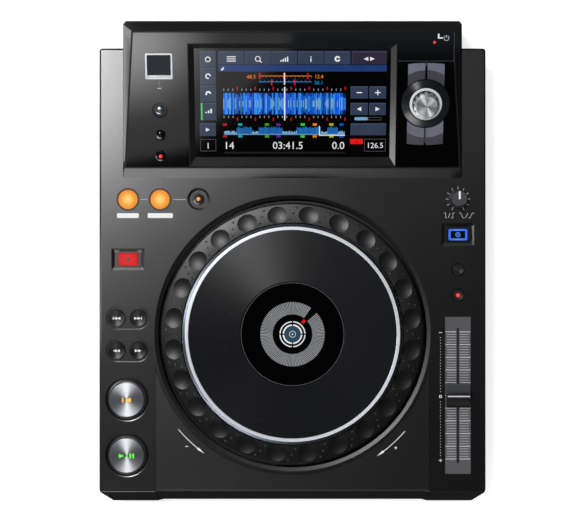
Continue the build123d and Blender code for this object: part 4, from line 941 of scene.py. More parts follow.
@dataclass
class DeckPrints:
    """Marks printed on the deck."""

    loop_y: float = 49.8
    loop_lines: Points = ((-120.2, -115.0), (-94.6, -84.4))
    line: float = 0.55
    boxes: tuple[Place, ...] = ((-139.0, -121.7, 35.2), (-114.7, -94.7, 35.2))
    box_height: float = 3.8
    box_corner: float = 0.9
    curve_y: float = 37.2
    curve_rise: float = 1.9
    curve_pen: float = 0.36
    curves: Points = ((119.8, 0.0), (131.8, 1.7))
    arc_radius: float = 118.1
    arc_pen: float = 0.56
    arcs: Points = ((220.1, 232.2), (-41.1, -54.0))
    head: float = 1.0
    head_turn: float = 1.6
    minus: Bar = (-84.9, -146.0, -82.7, -145.4)
    plus: Bars = ((80.7, -147.1, 82.9, -146.5), (81.5, -147.9, 82.1, -145.7))

    def build(self) -> None:
        """Builds the prints of the deck."""
        marks = Inlay("deck_prints", DECK)
        white, grey = ink(Ink.WHITE), ink(Ink.GREY)
        for x0, x1 in self.loop_lines:
            marks.bar(x0, self.loop_y - self.line / 2, x1, self.loop_y + self.line / 2, ink(Ink.SILVER))
        for x0, x1, y0 in self.boxes:
            marks.slab(oblong(x0, y0, x1, y0 + self.box_height, self.box_corner), white)
        self._curves(marks, grey)
        self._arrows(marks, white)
        for layer, bar in enumerate((self.minus, *self.plus)):
            marks.bar(*bar, white, layer // 2)
        marks.place("deck_unit", "shell_black")

    def _curves(self, marks: Inlay, finish: Finish) -> None:
        """Adds the signs of a short and of a long run-down.

        Args:
            marks: The piece that they belong to.
            finish: Their finish.
        """
        top, low = self.curve_y + self.curve_rise, self.curve_y - self.curve_rise
        for x, slope in self.curves:
            fall = ((0.0, top), (1.4, top), (1.5 + slope, low), (2.7 + slope, low))
            slash = ((3.5 + slope, low), (5.1 + slope * 1.15, top))
            rise = ((5.8 + slope, low), (7.1 + slope, low), (7.2 + slope * 2, top), (8.7 + slope * 2, top))
            for path in (fall, slash, rise):
                marks.stroke([(x + step, y) for step, y in path], self.curve_pen, finish)

    def _arrows(self, marks: Inlay, finish: Finish) -> None:
        """Adds the curved arrows that show which way the wheel slows or speeds the music.

        Args:
            marks: The piece that they belong to.
            finish: Their finish.
        """
        r, half = self.arc_radius, self.arc_pen / 2
        for start, end in self.arcs:
            marks.arc(0.0, JOG_Y, r - half, r + half, start, end, finish)
            way = 1 if end > start else -1
            back, tip = math.radians(end - way * self.head_turn), math.radians(end + way * self.head_turn)
            head = [(reach * math.cos(turn), JOG_Y + reach * math.sin(turn)) for reach, turn in
                    ((r + self.head, back), (r - self.head, back), (r, tip))]
            marks.slab(head if way < 0 else head[::-1], finish, 1)


@dataclass
class LoopControls:
    """Two lit loop buttons and the dark reloop button with its lamp."""

    lit_buttons: tuple[tuple[str, float], ...] = (("loop_in_button", -130.3), ("loop_out_button", -104.9))
    row_y: float = 49.9
    top: float = 72.0
    radius: float = 7.5
    # rim and rim_foot size the brown ring of painted shade in the gap round each lit button.
    rim: Point = (9.0, 7.65)
    rim_foot: float = -0.9
    reloop: Place = (-74.4, 50.2, 72.6)
    reloop_rim: Point = (8.9, 7.1)
    reloop_foot: float = -1.2

    def build(self) -> None:
        """Dresses the buttons, and adds the brown ring of painted shade round each lit one, the reloop's
        rim and the small lamp.
        """
        for node, x in self.lit_buttons:
            dress(node, Lamp(f"{node}_amber", (255, 222, 120), (246, 146, 20), (x, self.row_y, self.top),
                             self.radius, 0.88, (50, 24, 4), roughness=0.5, specular=0.25))
        rims = Inlay("loop_gap_shade_and_rims", DECK)
        # A brown ring of painted shade, with a painted amber glow, fills the gap round each lit button.
        for _, x in self.lit_buttons:
            outer, inner = (disc(x, self.row_y, radius) for radius in self.rim)
            rims.hoop(outer, inner, ink(Ink.GAP_SHADE), drop=0.02, foot=self.rim_foot)
        outer, inner = (disc(*self.reloop[:2], radius) for radius in self.reloop_rim)
        rims.hoop(outer, inner, SHELL, drop=0.32, foot=self.reloop_foot)
        rims.place("deck_unit", "shell_black")
        dress("reloop_button", Moulded("reloop_grey", (40, 40, 43), (52, 52, 55), 0.26, grain=0.6,
                                       relief=0.006))
        small_lamp("reloop_lamp", self.reloop, 1.55, "reloop_button", (255, 176, 40), (255, 138, 10))


def small_lamp(name: str, place: Place, radius: float, body: str, core: Colour, rim: Colour,
               tilt: float = 0.0, height: float = 0.35) -> None:
    """Adds a small domed lamp.

    Args:
        name: The piece's name.
        place: Middle of its foot.
        radius: Its radius.
        body: The body that it rides on.
        core: Colour of its middle.
        rim: Colour of its rim.
        tilt: Slope of the surface under it.
        height: How far it stands out.
    """
    form = bmesh.new()
    dome(form, Ground(place, tilt), 0.0, 0.0, radius, radius, height)
    settle(name, form, (Lamp(name, core, rim, place, radius),), body, smooth=True)


def dome(form: bmesh.types.BMesh, ground: Ground, x: float, y: float, long: float, wide: float,
         height: float, turn: float = 0.0, sides: int = 16, rings: int = 4) -> None:
    """Adds a low dome with an oval foot.

    Args:
        form: What it is added to.
        ground: What it stands on.
        x: Its middle.
        y: Its middle.
        long: Half of its length.
        wide: Half of its width.
        height: Its height.
        turn: Angle of its length, in radians.
        sides: Points round it.
        rings: Rings up to its top.
    """
    rows = []
    for ring in range(rings):
        lean = math.pi / 2 * ring / rings
        row = []
        for side in range(sides):
            angle = 2 * math.pi * side / sides
            u, v = long * math.cos(lean) * math.cos(angle), wide * math.cos(lean) * math.sin(angle)
            row.append(form.verts.new(ground.at(
                x + u * math.cos(turn) - v * math.sin(turn), y + u * math.sin(turn) + v * math.cos(turn),
                height * math.sin(lean) - (0.0 if ring else DOME_SINK))))
        rows.append(row)
    top = form.verts.new(ground.at(x, y, height))
    for low, high in zip(rows, rows[1:]):
        walls(form, low, high)
    for i in range(sides):
        form.faces.new((rows[-1][i], rows[-1][(i + 1) % sides], top))


@dataclass
class Transport:
    """Cue, play, track and search buttons and the direction button."""

    cue: Place = (-131.0, -108.5, 72.2)
    play: Place = (-131.0, -152.6, 72.2)
    disc_rim: Point = (17.5, 16.75)
    disc_rim_sides: int = 72
    small: tuple[tuple[str, float, float, Side, bool], ...] = (
        ("track_back_button", -139.3, -44.1, Side.BACK, True),
        ("track_next_button", -122.1, -44.1, Side.FORWARD, True),
        ("search_back_button", -139.3, -69.8, Side.BACK, False),
        ("search_forward_button", -122.1, -69.8, Side.FORWARD, False))
    dish_top: float = 71.12
    pocket: Point = (16.6, 8.5)
    pocket_rim: float = 0.6
    pocket_steps: int = 12
    direction: Place = (-130.4, 2.5, 70.8)
    direction_outer: Bar = (-13.0, -8.65, 13.0, 8.65)
    direction_inner: Bar = (-11.3, -6.5, 11.3, 6.9)
    sign_radius: float = 9.0
    pause_bars: Bars = ((2.1, -2.25, 3.45, 1.45), (4.4, -2.25, 5.75, 1.45))
    play_slash: Points = ((-0.9, -2.3), (0.8, 1.5))
    cue_bar: Bar = (-3.9, -2.2, -2.7, 1.6)

    def build(self) -> None:
        """Dresses the buttons and adds their signs."""
        for node, centre in (("cue_button", self.cue), ("play_button", self.play)):
            dress(node, Turned(f"{node}_disc", (138, 140, 144), (158, 160, 164), 0.36, centre, grooves=0.35,
                               relief=0.002, anisotropy=0.82, shift=(-0.03, -0.015, 0.0)))
        dress("transport_rings", DARK)
        self._rims()
        self._play_sign()
        self._cue_sign()
        for node, x, y, side, skip in self.small:
            centre = (x, y, self.dish_top)
            dress(node, Turned(f"{node}_dish", (16, 16, 18), (24, 24, 26), 0.3, centre, grooves=0.5,
                               relief=0.008, anisotropy=0.75, metallic=0.2, specular=0.3))
            self._small_sign(node, centre, side, skip)
        dress("direction_button", Lamp("direction_red", (222, 26, 28), (200, 10, 12), self.direction, 10.0,
                                       0.85, (70, 2, 4), roughness=0.5, specular=0.15))
        sign = Inlay("direction_sign", Ground(self.direction))
        sign.slab(triangle(-0.2, 0.0, 3.6, 3.4, Side.BACK), ink(Ink.DARK_RED))
        sign.place("direction_button", "button_red")

    def _rims(self) -> None:
        """Adds the thin sloping rims round the pockets of the buttons."""
        rims = Inlay("transport_rims", DECK)
        for x, y, _ in (self.cue, self.play):
            outer, inner = (disc(x, y, radius, self.disc_rim_sides) for radius in self.disc_rim)
            rims.hoop(outer, inner, SHELL, drop=0.12)
        x = (self.small[0][1] + self.small[1][1]) / 2
        for y in (self.small[0][2], self.small[2][2]):
            outer, inner = (
                oblong(x - self.pocket[0] - edge, y - self.pocket[1] - edge, x + self.pocket[0] + edge,
                       y + self.pocket[1] + edge, self.pocket[1] + edge, self.pocket_steps)
                for edge in (self.pocket_rim, 0.0))
            rims.hoop(outer, inner, SHELL, drop=0.1)
        pocket_rim(rims, self.direction, self.direction_outer, self.direction_inner, 0.3)
        rims.place("deck_unit", "shell_black")

    def _play_sign(self) -> None:
        """Adds the green sign of play and pause."""
        sign = Inlay("play_sign", Ground(self.play))
        finish = Lamp("play_green", (110, 255, 70), (60, 230, 40), self.play, self.sign_radius,
                      body=(20, 90, 20))
        sign.slab(triangle(-4.2, -0.4, 4.4, 3.7, Side.FORWARD), finish)
        sign.stroke(self.play_slash, 0.75, finish)
        for bar in self.pause_bars:
            sign.bar(*bar, finish)
        sign.place("play_button", "knob_metal")

    def _cue_sign(self) -> None:
        """Adds the orange sign of the way back to a point."""
        sign = Inlay("cue_sign", Ground(self.cue))
        finish = Lamp("cue_orange", (255, 190, 60), (255, 140, 30), self.cue, self.sign_radius,
                      body=(120, 60, 10))
        sign.bar(*self.cue_bar, finish)
        sign.slab(triangle(0.6, -0.3, 5.4, 3.8, Side.BACK), finish)
        sign.place("cue_button", "knob_metal")

    def _small_sign(self, node: str, centre: Place, side: Side, skip: bool) -> None:
        """Adds a double triangle.

        Args:
            node: The button under it.
            centre: Middle of the button's top.
            side: Which way it points.
            skip: True for a bar before it, where it skips a whole track.
        """
        sign = Inlay(node.replace("button", "sign"), Ground(centre))
        finish = ink(Ink.WHITE)
        way, y = side.value, -0.1
        for offset in (-1.35, 1.35):
            sign.slab(triangle(offset - way * (0.45 if skip else 0.0), y, 2.7, 2.3, side), finish)
        if skip:
            bar = way * 2.6
            sign.bar(bar - 0.32, y - 1.15, bar + 0.32, y + 1.15, finish)
        sign.place(node, "button_dark")


def pocket_rim(rims: Inlay, centre: Place, outer: Bar, inner: Bar, drop: float,
               corners: Point = (1.2, 0.5), foot: float = -1.55) -> None:
    """Adds the sloping rim round the pocket of a wide button.

    Args:
        rims: The piece that it belongs to.
        centre: Middle of the button.
        outer: Its outer sides, from the middle.
        inner: Its inner sides, from the middle.
        drop: How far it slopes down.
        corners: Radii of its outer and inner corners.
        foot: Height of its underside.
    """
    x, y, _ = centre
    outlines = [oblong(x + x0, y + y0, x + x1, y + y1, corner)
                for (x0, y0, x1, y1), corner in zip((outer, inner), corners)]
    rims.hoop(outlines[0], outlines[1], SHELL, drop=drop, foot=foot)


@dataclass
class TempoControls:
    """Speed knob, vinyl mode button, tempo buttons and the long fader."""

    knob: Place = (131.0, 50.2, 84.8)
    pointer: Bar = (-0.75, -0.6, 0.75, 5.6)
    tick: Point = (7.6, 9.8)
    tick_angle: int = 30
    mode: Place = (130.9, 22.0, 70.8)
    mode_outer: Bar = (-12.95, -9.05, 12.95, 9.05)
    mode_inner: Bar = (-11.3, -6.8, 11.4, 7.3)
    range_button: Place = (131.0, -5.73, 71.3)
    tempo_button: Place = (131.0, -25.91, 71.3)
    lamp_foot: float = 71.2
    plate: Place = (131.0, -105.3, 69.6)
    cap: Place = (131.0, -105.3, 80.3)
    cap_line: Bar = (-8.9, -0.48, 8.6, 0.48)
    slot: Bar = (-0.95, -53.5, 0.95, 53.5)
    slot_gap: float = 1.3
    major_pitch: float = 10.07
    major_line: Point = (9.75, 0.27)
    minor_line: Point = (8.75, 0.22)
    steps: int = 50
    scale_x: float = 117.2
    dot_rows: Points = ((-102.3, 2.26), (-110.2, -2.25))
    dots: int = 20
    dot_radius: float = 0.34
    end_signs: Bars = ((-1.2, -55.9, 1.2, -55.2), (-1.3, -157.1, 1.3, -156.4),
                                  (-0.35, -158.0, 0.35, -155.5))
    zero_ring: Place = (-106.1, 0.65, 1.2)

    def build(self) -> None:
        """Dresses the controls and adds their marks."""
        dress("speed_knob", Moulded("speed_knob_grey", (44, 45, 48), (52, 53, 57), 0.4, grain=0.5,
                                    relief=0.01))
        pointer = Inlay("speed_pointer", Ground(self.knob))
        pointer.slab(oblong(*self.pointer, corner=0.3, steps=2), ink(Ink.WHITE))
        pointer.place("speed_knob", "button_dark")
        self._dial()
        self._mode()
        for node, centre in (("tempo_range_button", self.range_button),
                             ("master_tempo_button", self.tempo_button)):
            dress(node, Turned(f"{node}_dish", (14, 14, 16), (22, 22, 24), 0.42, centre, grooves=0.5,
                               relief=0.006, anisotropy=0.7, metallic=0.2, specular=0.4))
        small_lamp("master_tempo_lamp", (*self.tempo_button[:2], self.lamp_foot), 1.7,
                   "master_tempo_button", (255, 70, 60), (235, 16, 14))
        self._fader()
        self._scale()

    def _dial(self) -> None:
        """Adds the ticks round the speed knob."""
        ticks = Inlay("speed_ticks", DECK)
        x, y, _ = self.knob
        for step in range(-5, 6):
            angle = math.radians(90 - self.tick_angle * step)
            ends = [(x + reach * math.cos(angle), y + reach * math.sin(angle)) for reach in self.tick]
            ticks.stroke(ends, 0.5, ink(Ink.SILVER))
        ticks.place("deck_unit", "shell_black")

    def _mode(self) -> None:
        """Adds the blue light frame and the record sign of the mode button."""
        dress("jog_mode_button", GLOSSY)
        sign = Inlay("jog_mode_sign", Ground(self.mode))
        blue = Lamp("mode_blue", (70, 150, 255), (20, 90, 235), self.mode, 9.5, 0.85, (8, 24, 70))
        sign.hoop(oblong(-7.5, -4.5, 7.5, 4.5, 1.0), oblong(-5.7, -3.0, 5.7, 3.0, 0.5), blue)
        sign.arc(0.0, 0.0, 1.35, 1.95, 0.0, 360.0, blue)
        sign.slab(disc(0.0, 0.0, 0.55, 16), blue)
        sign.place("jog_mode_button", "button_blue")
        rim = Inlay("jog_mode_rim", DECK)
        pocket_rim(rim, self.mode, self.mode_outer, self.mode_inner, 0.22)
        rim.place("deck_unit", "shell_black")

    def _fader(self) -> None:
        """Dresses the fader, and adds the lines beside it and a black strip of painted shade in its slot.
        """
        dress_all({"fader_plate": FADER, "fader_body": STEEL})
        # Painted reflection on the cap's back slopes, and painted shade (12, 12, 14) on its other faces.
        dress("fader_cap", PaintedFacetLight("cap_black", (60, 62, 67), (70, 72, 77), 0.3, grain=0.7, relief=0.008,
                                    flecks=0.3, shade=(12, 12, 14), facing=(0.0, 1.0, -0.12),
                                    specular=0.25))
        lines = Inlay("fader_scale_and_slot_shade", Ground(self.plate))
        for step in range(self.steps + 1):
            major = step % 5 == 0
            reach, half = self.major_line if major else self.minor_line
            y = (self.steps / 2 - step) * self.major_pitch / 5
            for left, right in ((-reach, -self.slot_gap), (self.slot_gap, reach)):
                lines.bar(left, y - half, right, y + half, ink(Ink.PALE if major else Ink.SILVER))
        # Painted shade: a black strip over the slot, whose deep opening is only shade.
        lines.bar(*self.slot, ink(Ink.BLACK), -3)
        lines.place("deck_unit", "gloss_black")

    def _scale(self) -> None:
        """Adds the dotted scale on the deck, and the line on the fader's cap."""
        x, grey = self.scale_x, ink(Ink.GREY)
        dots = Inlay("tempo_dots", DECK)
        for first, pitch in self.dot_rows:
            for step in range(self.dots):
                dots.slab(disc(x, first + step * pitch, self.dot_radius, 10), grey)
        for layer, (x0, y0, x1, y1) in enumerate(self.end_signs):
            dots.bar(x + x0, y0, x + x1, y1, grey, layer // 2)
        y, inner, outer = self.zero_ring
        dots.arc(x, y, inner, outer, 0.0, 360.0, ink(Ink.WHITE), 20)
        dots.place("deck_unit", "shell_black")
        line = Inlay("fader_line", Ground(self.cap))
        line.bar(*self.cap_line, ink(Ink.PALE))
        line.place("fader_cap", "button_dark")


@dataclass
class JogWheel:
    """Dimpled wheel with its ridges, touch plate, knurled ring and round display."""

    inner: float = 87.3
    width: float = 14.1
    inner_height: float = 15.6
    fall: float = 1.3
    arch: float = 1.9
    dimples: int = 24
    middle: float = 224.8
    pitch: float = 15.0
    ridge_radii: Points = ((98.9, -1.7), (94.5, 0.0), (89.9, 1.75))
    ridge: Place = (1.15, 0.85, 0.45)
    knurl_columns: int = 360
    knurl_levels: int = 6
    knurl_radius: float = 83.95
    knurl_top: float = 90.17
    knurl_drop: float = 2.2
    crest: Point = (0.16, 0.02)
    crest_lean: float = 0.7
    display_top: float = 89.4
    spokes: int = 120
    spoke: Place = (15.5, 25.1, 0.74)
    spoke_gap: Point = (48.0, 13.0)
    quarter_rings: tuple[Place, ...] = ((9.3, 10.15, 3.0), (6.5, 7.7, 3.6))

    def surface(self, radius: float) -> float:
        """Gives the height of the wheel's arched top at a radius."""
        share = (radius - self.inner) / self.width
        return DECK_TOP + self.inner_height - self.fall * share + self.arch * share * (1 - share)

    def build(self) -> None:
        """Dresses the wheel and adds its small forms."""
        dress_all({"jog_base": SHELL, "jog_post": STEEL, "jog_bearing": BRASS, "jog_ring": RING,
                   "jog_encoder_wheel": SOCKET, "jog_platter": PLATTER, "jog_trim_ring": TRIM,
                   "jog_display": HUB})
        self._ridges()
        self._knurl()
        self._display()

    def _ridges(self) -> None:
        """Adds three small ridges between each two dimples."""
        form = bmesh.new()
        for step in range(self.dimples):
            for radius, lag in self.ridge_radii:
                angle = math.radians(self.middle + lag + step * self.pitch)
                dome(form, Ground((0.0, JOG_Y, self.surface(radius))), radius * math.cos(angle),
                     radius * math.sin(angle), *self.ridge, angle + math.pi / 2, 12, 3)
        settle("wheel_ridges", form, (RIDGE,), "jog", smooth=True)

    def _knurl(self) -> None:
        """Adds the slanted knurl on the flank of the bright ring."""
        form = bmesh.new()
        rows = []
        for level in range(self.knurl_levels + 1):
            share = level / self.knurl_levels
            swell = math.sin(math.pi * share) ** 0.5 if 0 < share < 1 else 0.0
            row = []
            for column in range(self.knurl_columns * 2):
                rise = self.crest[(column + level) % 2] * swell * self.crest_lean
                angle = math.pi * (column + level * 0.5) / self.knurl_columns
                radius = self.knurl_radius + self.knurl_drop * share + rise
                row.append(form.verts.new(Vector((
                    radius * math.cos(angle) * MM, (JOG_Y + radius * math.sin(angle)) * MM,
                    (self.knurl_top - self.knurl_drop * share + rise) * MM))))
            rows.append(row)
        for low, high in zip(rows, rows[1:]):
            for i in range(len(low)):
                j = (i + 1) % len(low)
                form.faces.new((low[i], high[i], high[j], low[j]))
        settle("knurled_flank", form, (KNURL,), "jog_plate")

    def _display(self) -> None:
        """Adds what the round display shows, and a thin painted highlight round its rim."""
        face = Inlay("round_display_marks_and_rim_highlight", Ground((0.0, JOG_Y, self.display_top)), 0.06)
        grey, white, soft = lit(Ink.SILVER, 0.9), lit(Ink.WHITE), lit(Ink.WHITE, 0.9)
        inner, outer, half = self.spoke
        gap_at, gap = self.spoke_gap
        for step in range(self.spokes):
            angle = gap_at + gap / 2 + (360 - gap) * (step + 0.5) / self.spokes
            face.arc(0.0, 0.0, inner, outer, angle - half, angle + half, grey, 1)
        for start in range(0, 360, 90):
            for inner, outer, gap in self.quarter_rings:
                face.arc(0.0, 0.0, inner, outer, start + gap, start + 90 - gap, white, 18)
        face.slab(disc(0.0, 0.0, 6.15, 48), lit(Ink.SKY, 0.2))
        face.arc(0.0, 0.0, 2.2, 2.6, 0.0, 360.0, soft, 32, 2)
        face.slab(disc(0.0, 0.0, 0.6, 20), soft, 2)
        face.arc(0.0, 0.0, 11.5, 14.6, 44.0, 53.5, lit(Ink.RED, 0.85), 4)
        # Painted highlight: a thin grey ring on the edge of the round display.
        face.arc(0.0, 0.0, 40.0, 40.3, 0.0, 360.0, ink(Ink.LINE), 96)
        face.place("deck_unit", "glass_black")


@dataclass
class DisplayUnit:
    """Sloping panel with the touch screen, the storage port and the small buttons."""

    port_marks: tuple[tuple[Bar, Ink], ...] = (((-103.9, 65.6, -103.4, 70.0), Ink.FAINT),
                                               ((-105.1, 63.4, -102.1, 64.2), Ink.GREY))
    standby: Point = (118.7, 103.1)
    standby_ring: Point = (1.7, 2.15)
    standby_stroke: Point = (0.22, 2.3)
    corner: Bars = ((112.1, 102.7, 113.3, 106.4), (113.3, 102.7, 116.0, 103.7))
    edges: Bars = ((81.8, 85.15, 125.0, 85.33), (124.8, 85.33, 125.0, 108.0))
    # Painted highlights: thin pale lines in the gaps between the keys round the selector.
    key_gap_highlights: Bars = ((103.46, 81.6, 103.74, 84.6), (103.76, 20.5, 104.04, 32.5))
    led: Place = (109.7, 99.8, 0.0)
    quantize: Place = (-103.5, 10.2, 1.9)

    def build(self) -> None:
        """Dresses the unit and adds its prints, the painted highlights in the key gaps, and its lamps."""
        dress_all({"display_fascia": FASCIA, "screen_bezel": BEZEL, "touch_screen": GLASS,
                   "display_module": STEEL, "usb_frame": CHROME, "usb_door": FLAP, "usb_socket": STEEL})
        dress("usb_stop_button", Moulded("stop_cap", (112, 122, 132), (132, 142, 150), 0.24, relief=0.002,
                                         metallic=0.9, flatten=0.8))
        dress_all({"time_mode_button": GLOSSY, "quantize_button": GLOSSY})
        marks = Inlay("panel_prints_and_gap_highlights", PANEL)
        grey = ink(Ink.GREY)
        for bar, shade in self.port_marks:
            marks.bar(*bar, ink(shade))
        x, y = self.standby
        half, rise = self.standby_stroke
        marks.arc(x, y, *self.standby_ring, 115.0, 425.0, grey, 20)
        marks.bar(x - half, y, x + half, y + rise, grey, 1)
        # The pale lines in the key gaps are painted highlights; the rest are prints.
        for bars, shade in ((self.corner, Ink.WHITE), (self.edges, Ink.LINE), (self.key_gap_highlights, Ink.KEY_GAP_HIGHLIGHT)):
            for bar in bars:
                marks.bar(*bar, ink(shade))
        marks.place("deck_unit", "gloss_black")
        small_lamp("standby_lamp", tuple(PANEL.at(*self.led) / MM), 1.2, "deck_unit", (255, 60, 60),
                   (220, 10, 14), PANEL_TILT, 0.3)
        small_lamp("quantize_lamp", tuple(PANEL.at(*self.quantize) / MM), 1.5, "quantize_button",
                   (255, 60, 60), (235, 14, 16), PANEL_TILT, 0.3)


@dataclass
class Screen:
    """Picture on the touch screen: tiles, title, meters, waves and numbers of a plain design.

    Bars are given by their left, lower, right and upper sides, and a series by its first bar, the change
    from bar to bar and how many there are.
    """

    depth: float = 3.2
    tiles: Bars = ((-71.9, 80.2, -59.6, 92.4), (-71.9, 66.2, -59.6, 79.6),
                              (-71.9, 52.4, -59.6, 65.6), (-71.9, 38.1, -59.6, 51.8))
    chosen: Bar = (-71.6, 38.1, -70.5, 51.8)
    play_tile: Bar = (-72.6, 25.4, -60.2, 35.6)
    number_frame: Bar = (-72.6, 13.2, -60.2, 22.8)
    tabs: tuple[float, ...] = (-57.5, -36.9, -16.3, 4.3, 24.9)
    tab: Place = (20.0, 82.0, 92.4)
    search: Bar = (46.0, 82.0, 73.1, 92.4)
    title: Bar = (-57.6, 76.5, 73.3, 81.5)
    right_tiles: Bars = ((45.4, 55.2, 58.9, 64.8), (60.0, 55.2, 73.0, 64.8),
                                    (45.4, 42.1, 58.9, 51.7), (60.0, 42.1, 73.0, 51.7),
                                    (45.6, 26.0, 73.4, 35.5))
    series: tuple[tuple[Bar, Bar, int], ...] = (
        ((-51.0, 84.3, -44.0, 85.0), (0.0, 1.7, 0.0, 1.7), 3),
        ((-9.4, 84.2, -8.4, 85.4), (1.7, 0.0, 1.7, 0.9), 4),
        ((-68.2, 43.6, -67.0, 44.6), (2.0, 0.0, 2.0, 1.2), 3))
    rings: tuple[tuple[float, ...], ...] = (
        (-26.9, 86.4, 1.6, 2.2, 0.0, 360.0), (34.9, 86.4, 1.0, 2.3, 20.0, 340.0),
        (-65.7, 86.0, 1.5, 2.2, 0.0, 360.0), (-65.7, 72.8, 1.2, 2.2, 0.0, 290.0),
        (-65.7, 59.0, 0.9, 2.2, 0.0, 220.0))
    handle: Points = ((-25.3, 84.9), (-23.9, 83.5))
    dots: tuple[tuple[float, float, float, int], ...] = ((14.3, 87.9, 0.5, 12), (-54.8, 78.0, 0.8, 14))
    strokes: Bars = ((13.9, 84.2, 14.7, 86.9), (50.0, 59.5, 54.3, 60.3),
                                (64.4, 59.5, 68.7, 60.3), (66.15, 57.8, 66.95, 62.0),
                                (-54.4, 78.0, -53.4, 79.9))
    arrows: tuple[tuple[float, float, float, float, Side], ...] = (
        (57.0, 86.4, 3.6, 3.2, Side.BACK), (62.0, 86.4, 3.6, 3.2, Side.FORWARD),
        (-66.4, 30.4, 3.2, 3.2, Side.FORWARD), (52.1, 46.9, 3.4, 3.4, Side.BACK),
        (66.6, 46.9, 3.4, 3.4, Side.FORWARD))
    switch: Bar = (48.6, 38.0, 59.0, 40.4)
    switch_frame: Bar = (59.4, 38.0, 69.6, 40.4)
    range_tile: Bar = (45.3, 18.9, 55.3, 23.0)
    tempo_frame: Bar = (56.4, 13.0, 73.2, 23.0)
    frame_line: float = 0.3
    meters: tuple[tuple[float, Ink, int], ...] = ((73.0, Ink.ORANGE, -1), (68.4, Ink.CYAN, 1))
    red_beats: Points = ((-25.6, 73.0), (-6.7, 73.0), (11.9, 73.0), (-16.2, 68.0), (1.8, 68.0))
    beat_rows: Points = ((63.2, 62.2), (38.9, 40.6))
    beats: int = 28
    beat_pitch: float = 3.51
    wave_left: float = -54.0
    wave_y: float = 51.1
    wave_half: float = 8.45
    wave_step: float = 0.83
    wave_columns: int = 115
    wave_shades: tuple[tuple[Ink, float], ...] = (
        (Ink.BLUE, 1.0), (Ink.BRIGHT_BLUE, 1.0), (Ink.NAVY, 1.3), (Ink.BLUE, 1.15), (Ink.BRIGHT_BLUE, 0.9),
        (Ink.SEA, 1.2), (Ink.BLUE, 0.8))
    track: Point = (-53.6, 27.2)
    track_step: float = 0.75
    track_columns: int = 126
    loud: Points = ((-44.0, -32.0), (-27.0, -8.0), (3.0, 22.0), (27.0, 35.0))
    points: tuple[tuple[float, Ink], ...] = (
        (-53.0, Ink.DEEP_RED), (-41.0, Ink.TEAL), (-20.0, Ink.LEAF), (-11.0, Ink.VIOLET), (8.0, Ink.GREEN),
        (17.5, Ink.ORANGE), (30.5, Ink.YELLOW), (38.5, Ink.BLUE))
    point_rows: Points = ((33.6, 35.5), (24.2, 26.0))
    point_half: float = 1.6
    number_y: float = 15.0
    number_height: float = 6.0

    def build(self) -> None:
        """Builds the picture's parts."""
        ground = Ground(tuple(PANEL.at(0.0, 0.0, -self.depth) / MM), PANEL_TILT)
        for name, fill in (("tiles", self._tiles), ("meter", self._meter), ("wave", self._wave),
                           ("overview", self._overview), ("numbers", self._numbers)):
            sheet = Inlay(f"screen_{name}", ground)
            fill(sheet)
            sheet.place("deck_unit", "glass_black")

    def _button(self, sheet: Inlay, bar: Bar, shade: Ink = Ink.SLATE, edge: Ink = Ink.SLATE_EDGE) -> None:
        """Adds one touch button with a paler rim at its top and left.

        Args:
            sheet: The piece that it belongs to.
            bar: Its sides.
            shade: Its colour.
            edge: Colour of its rim.
        """
        x0, y0, x1, y1 = bar
        sheet.bar(x0, y0, x1, y1, lit(edge))
        sheet.bar(x0 + 0.4, y0, x1, y1 - 0.8, lit(shade), 1)

    def _frame(self, sheet: Inlay, bar: Bar, corner: float = 0.0) -> None:
        """Adds a thin frame.

        Args:
            sheet: The piece that it belongs to.
            bar: Its sides.
            corner: Radius of its corners.
        """
        (x0, y0, x1, y1), line = bar, self.frame_line
        inner = oblong(x0 + line, y0 + line, x1 - line, y1 - line, corner - line)
        sheet.hoop(oblong(x0, y0, x1, y1, corner), inner, lit(Ink.LINE))

    def _tiles(self, sheet: Inlay) -> None:
        """Adds the touch buttons and the title bar.

        Args:
            sheet: The piece that they belong to.
        """
        for bar in self.tiles:
            self._button(sheet, bar)
        sheet.bar(*self.chosen, lit(Ink.GREEN), 2)
        self._button(sheet, self.play_tile)
        self._frame(sheet, self.number_frame)
        width, low, high = self.tab
        for left in self.tabs:
            self._button(sheet, (left, low, left + width, high))
        self._button(sheet, self.search, Ink.PLUM, Ink.PLUM_EDGE)
        sheet.bar(*self.title, lit(Ink.TITLE))
        for bar in self.right_tiles:
            self._button(sheet, bar)
        self._signs(sheet)
        sheet.slab(oblong(*self.switch, corner=0.8), lit(Ink.PALE_BLUE, 0.7))
        self._frame(sheet, self.switch_frame, 0.8)
        sheet.bar(*self.range_tile, lit(Ink.RED))
        self._frame(sheet, self.tempo_frame)
        sheet.figures("1", -66.4, 15.3, 4.8, lit(Ink.WHITE), "CENTER", 2)
        sheet.figures("10", 50.3, 19.7, 2.4, lit(Ink.DARK_RED), "CENTER", 2)
        sheet.figures("126.5", 71.6, 15.8, 4.4, lit(Ink.WHITE), "RIGHT", 2)

    def _signs(self, sheet: Inlay) -> None:
        """Adds the plain signs on the touch buttons and in the title bar.

        Args:
            sheet: The piece that they belong to.
        """
        white = lit(Ink.WHITE)
        for first, change, count in self.series:
            for k in range(count):
                sheet.bar(*(side + k * step for side, step in zip(first, change)), white, 2)
        for x, y, inner, outer, start, end in self.rings:
            sheet.arc(x, y, inner, outer, start, end, white, layer=2)
        sheet.stroke(self.handle, 0.7, white, 2)
        for dot in self.dots:
            sheet.slab(disc(*dot), white, 2)
        for bar in self.strokes:
            sheet.bar(*bar, white, 2)
        for arrow in self.arrows:
            sheet.slab(triangle(*arrow), white, 2)

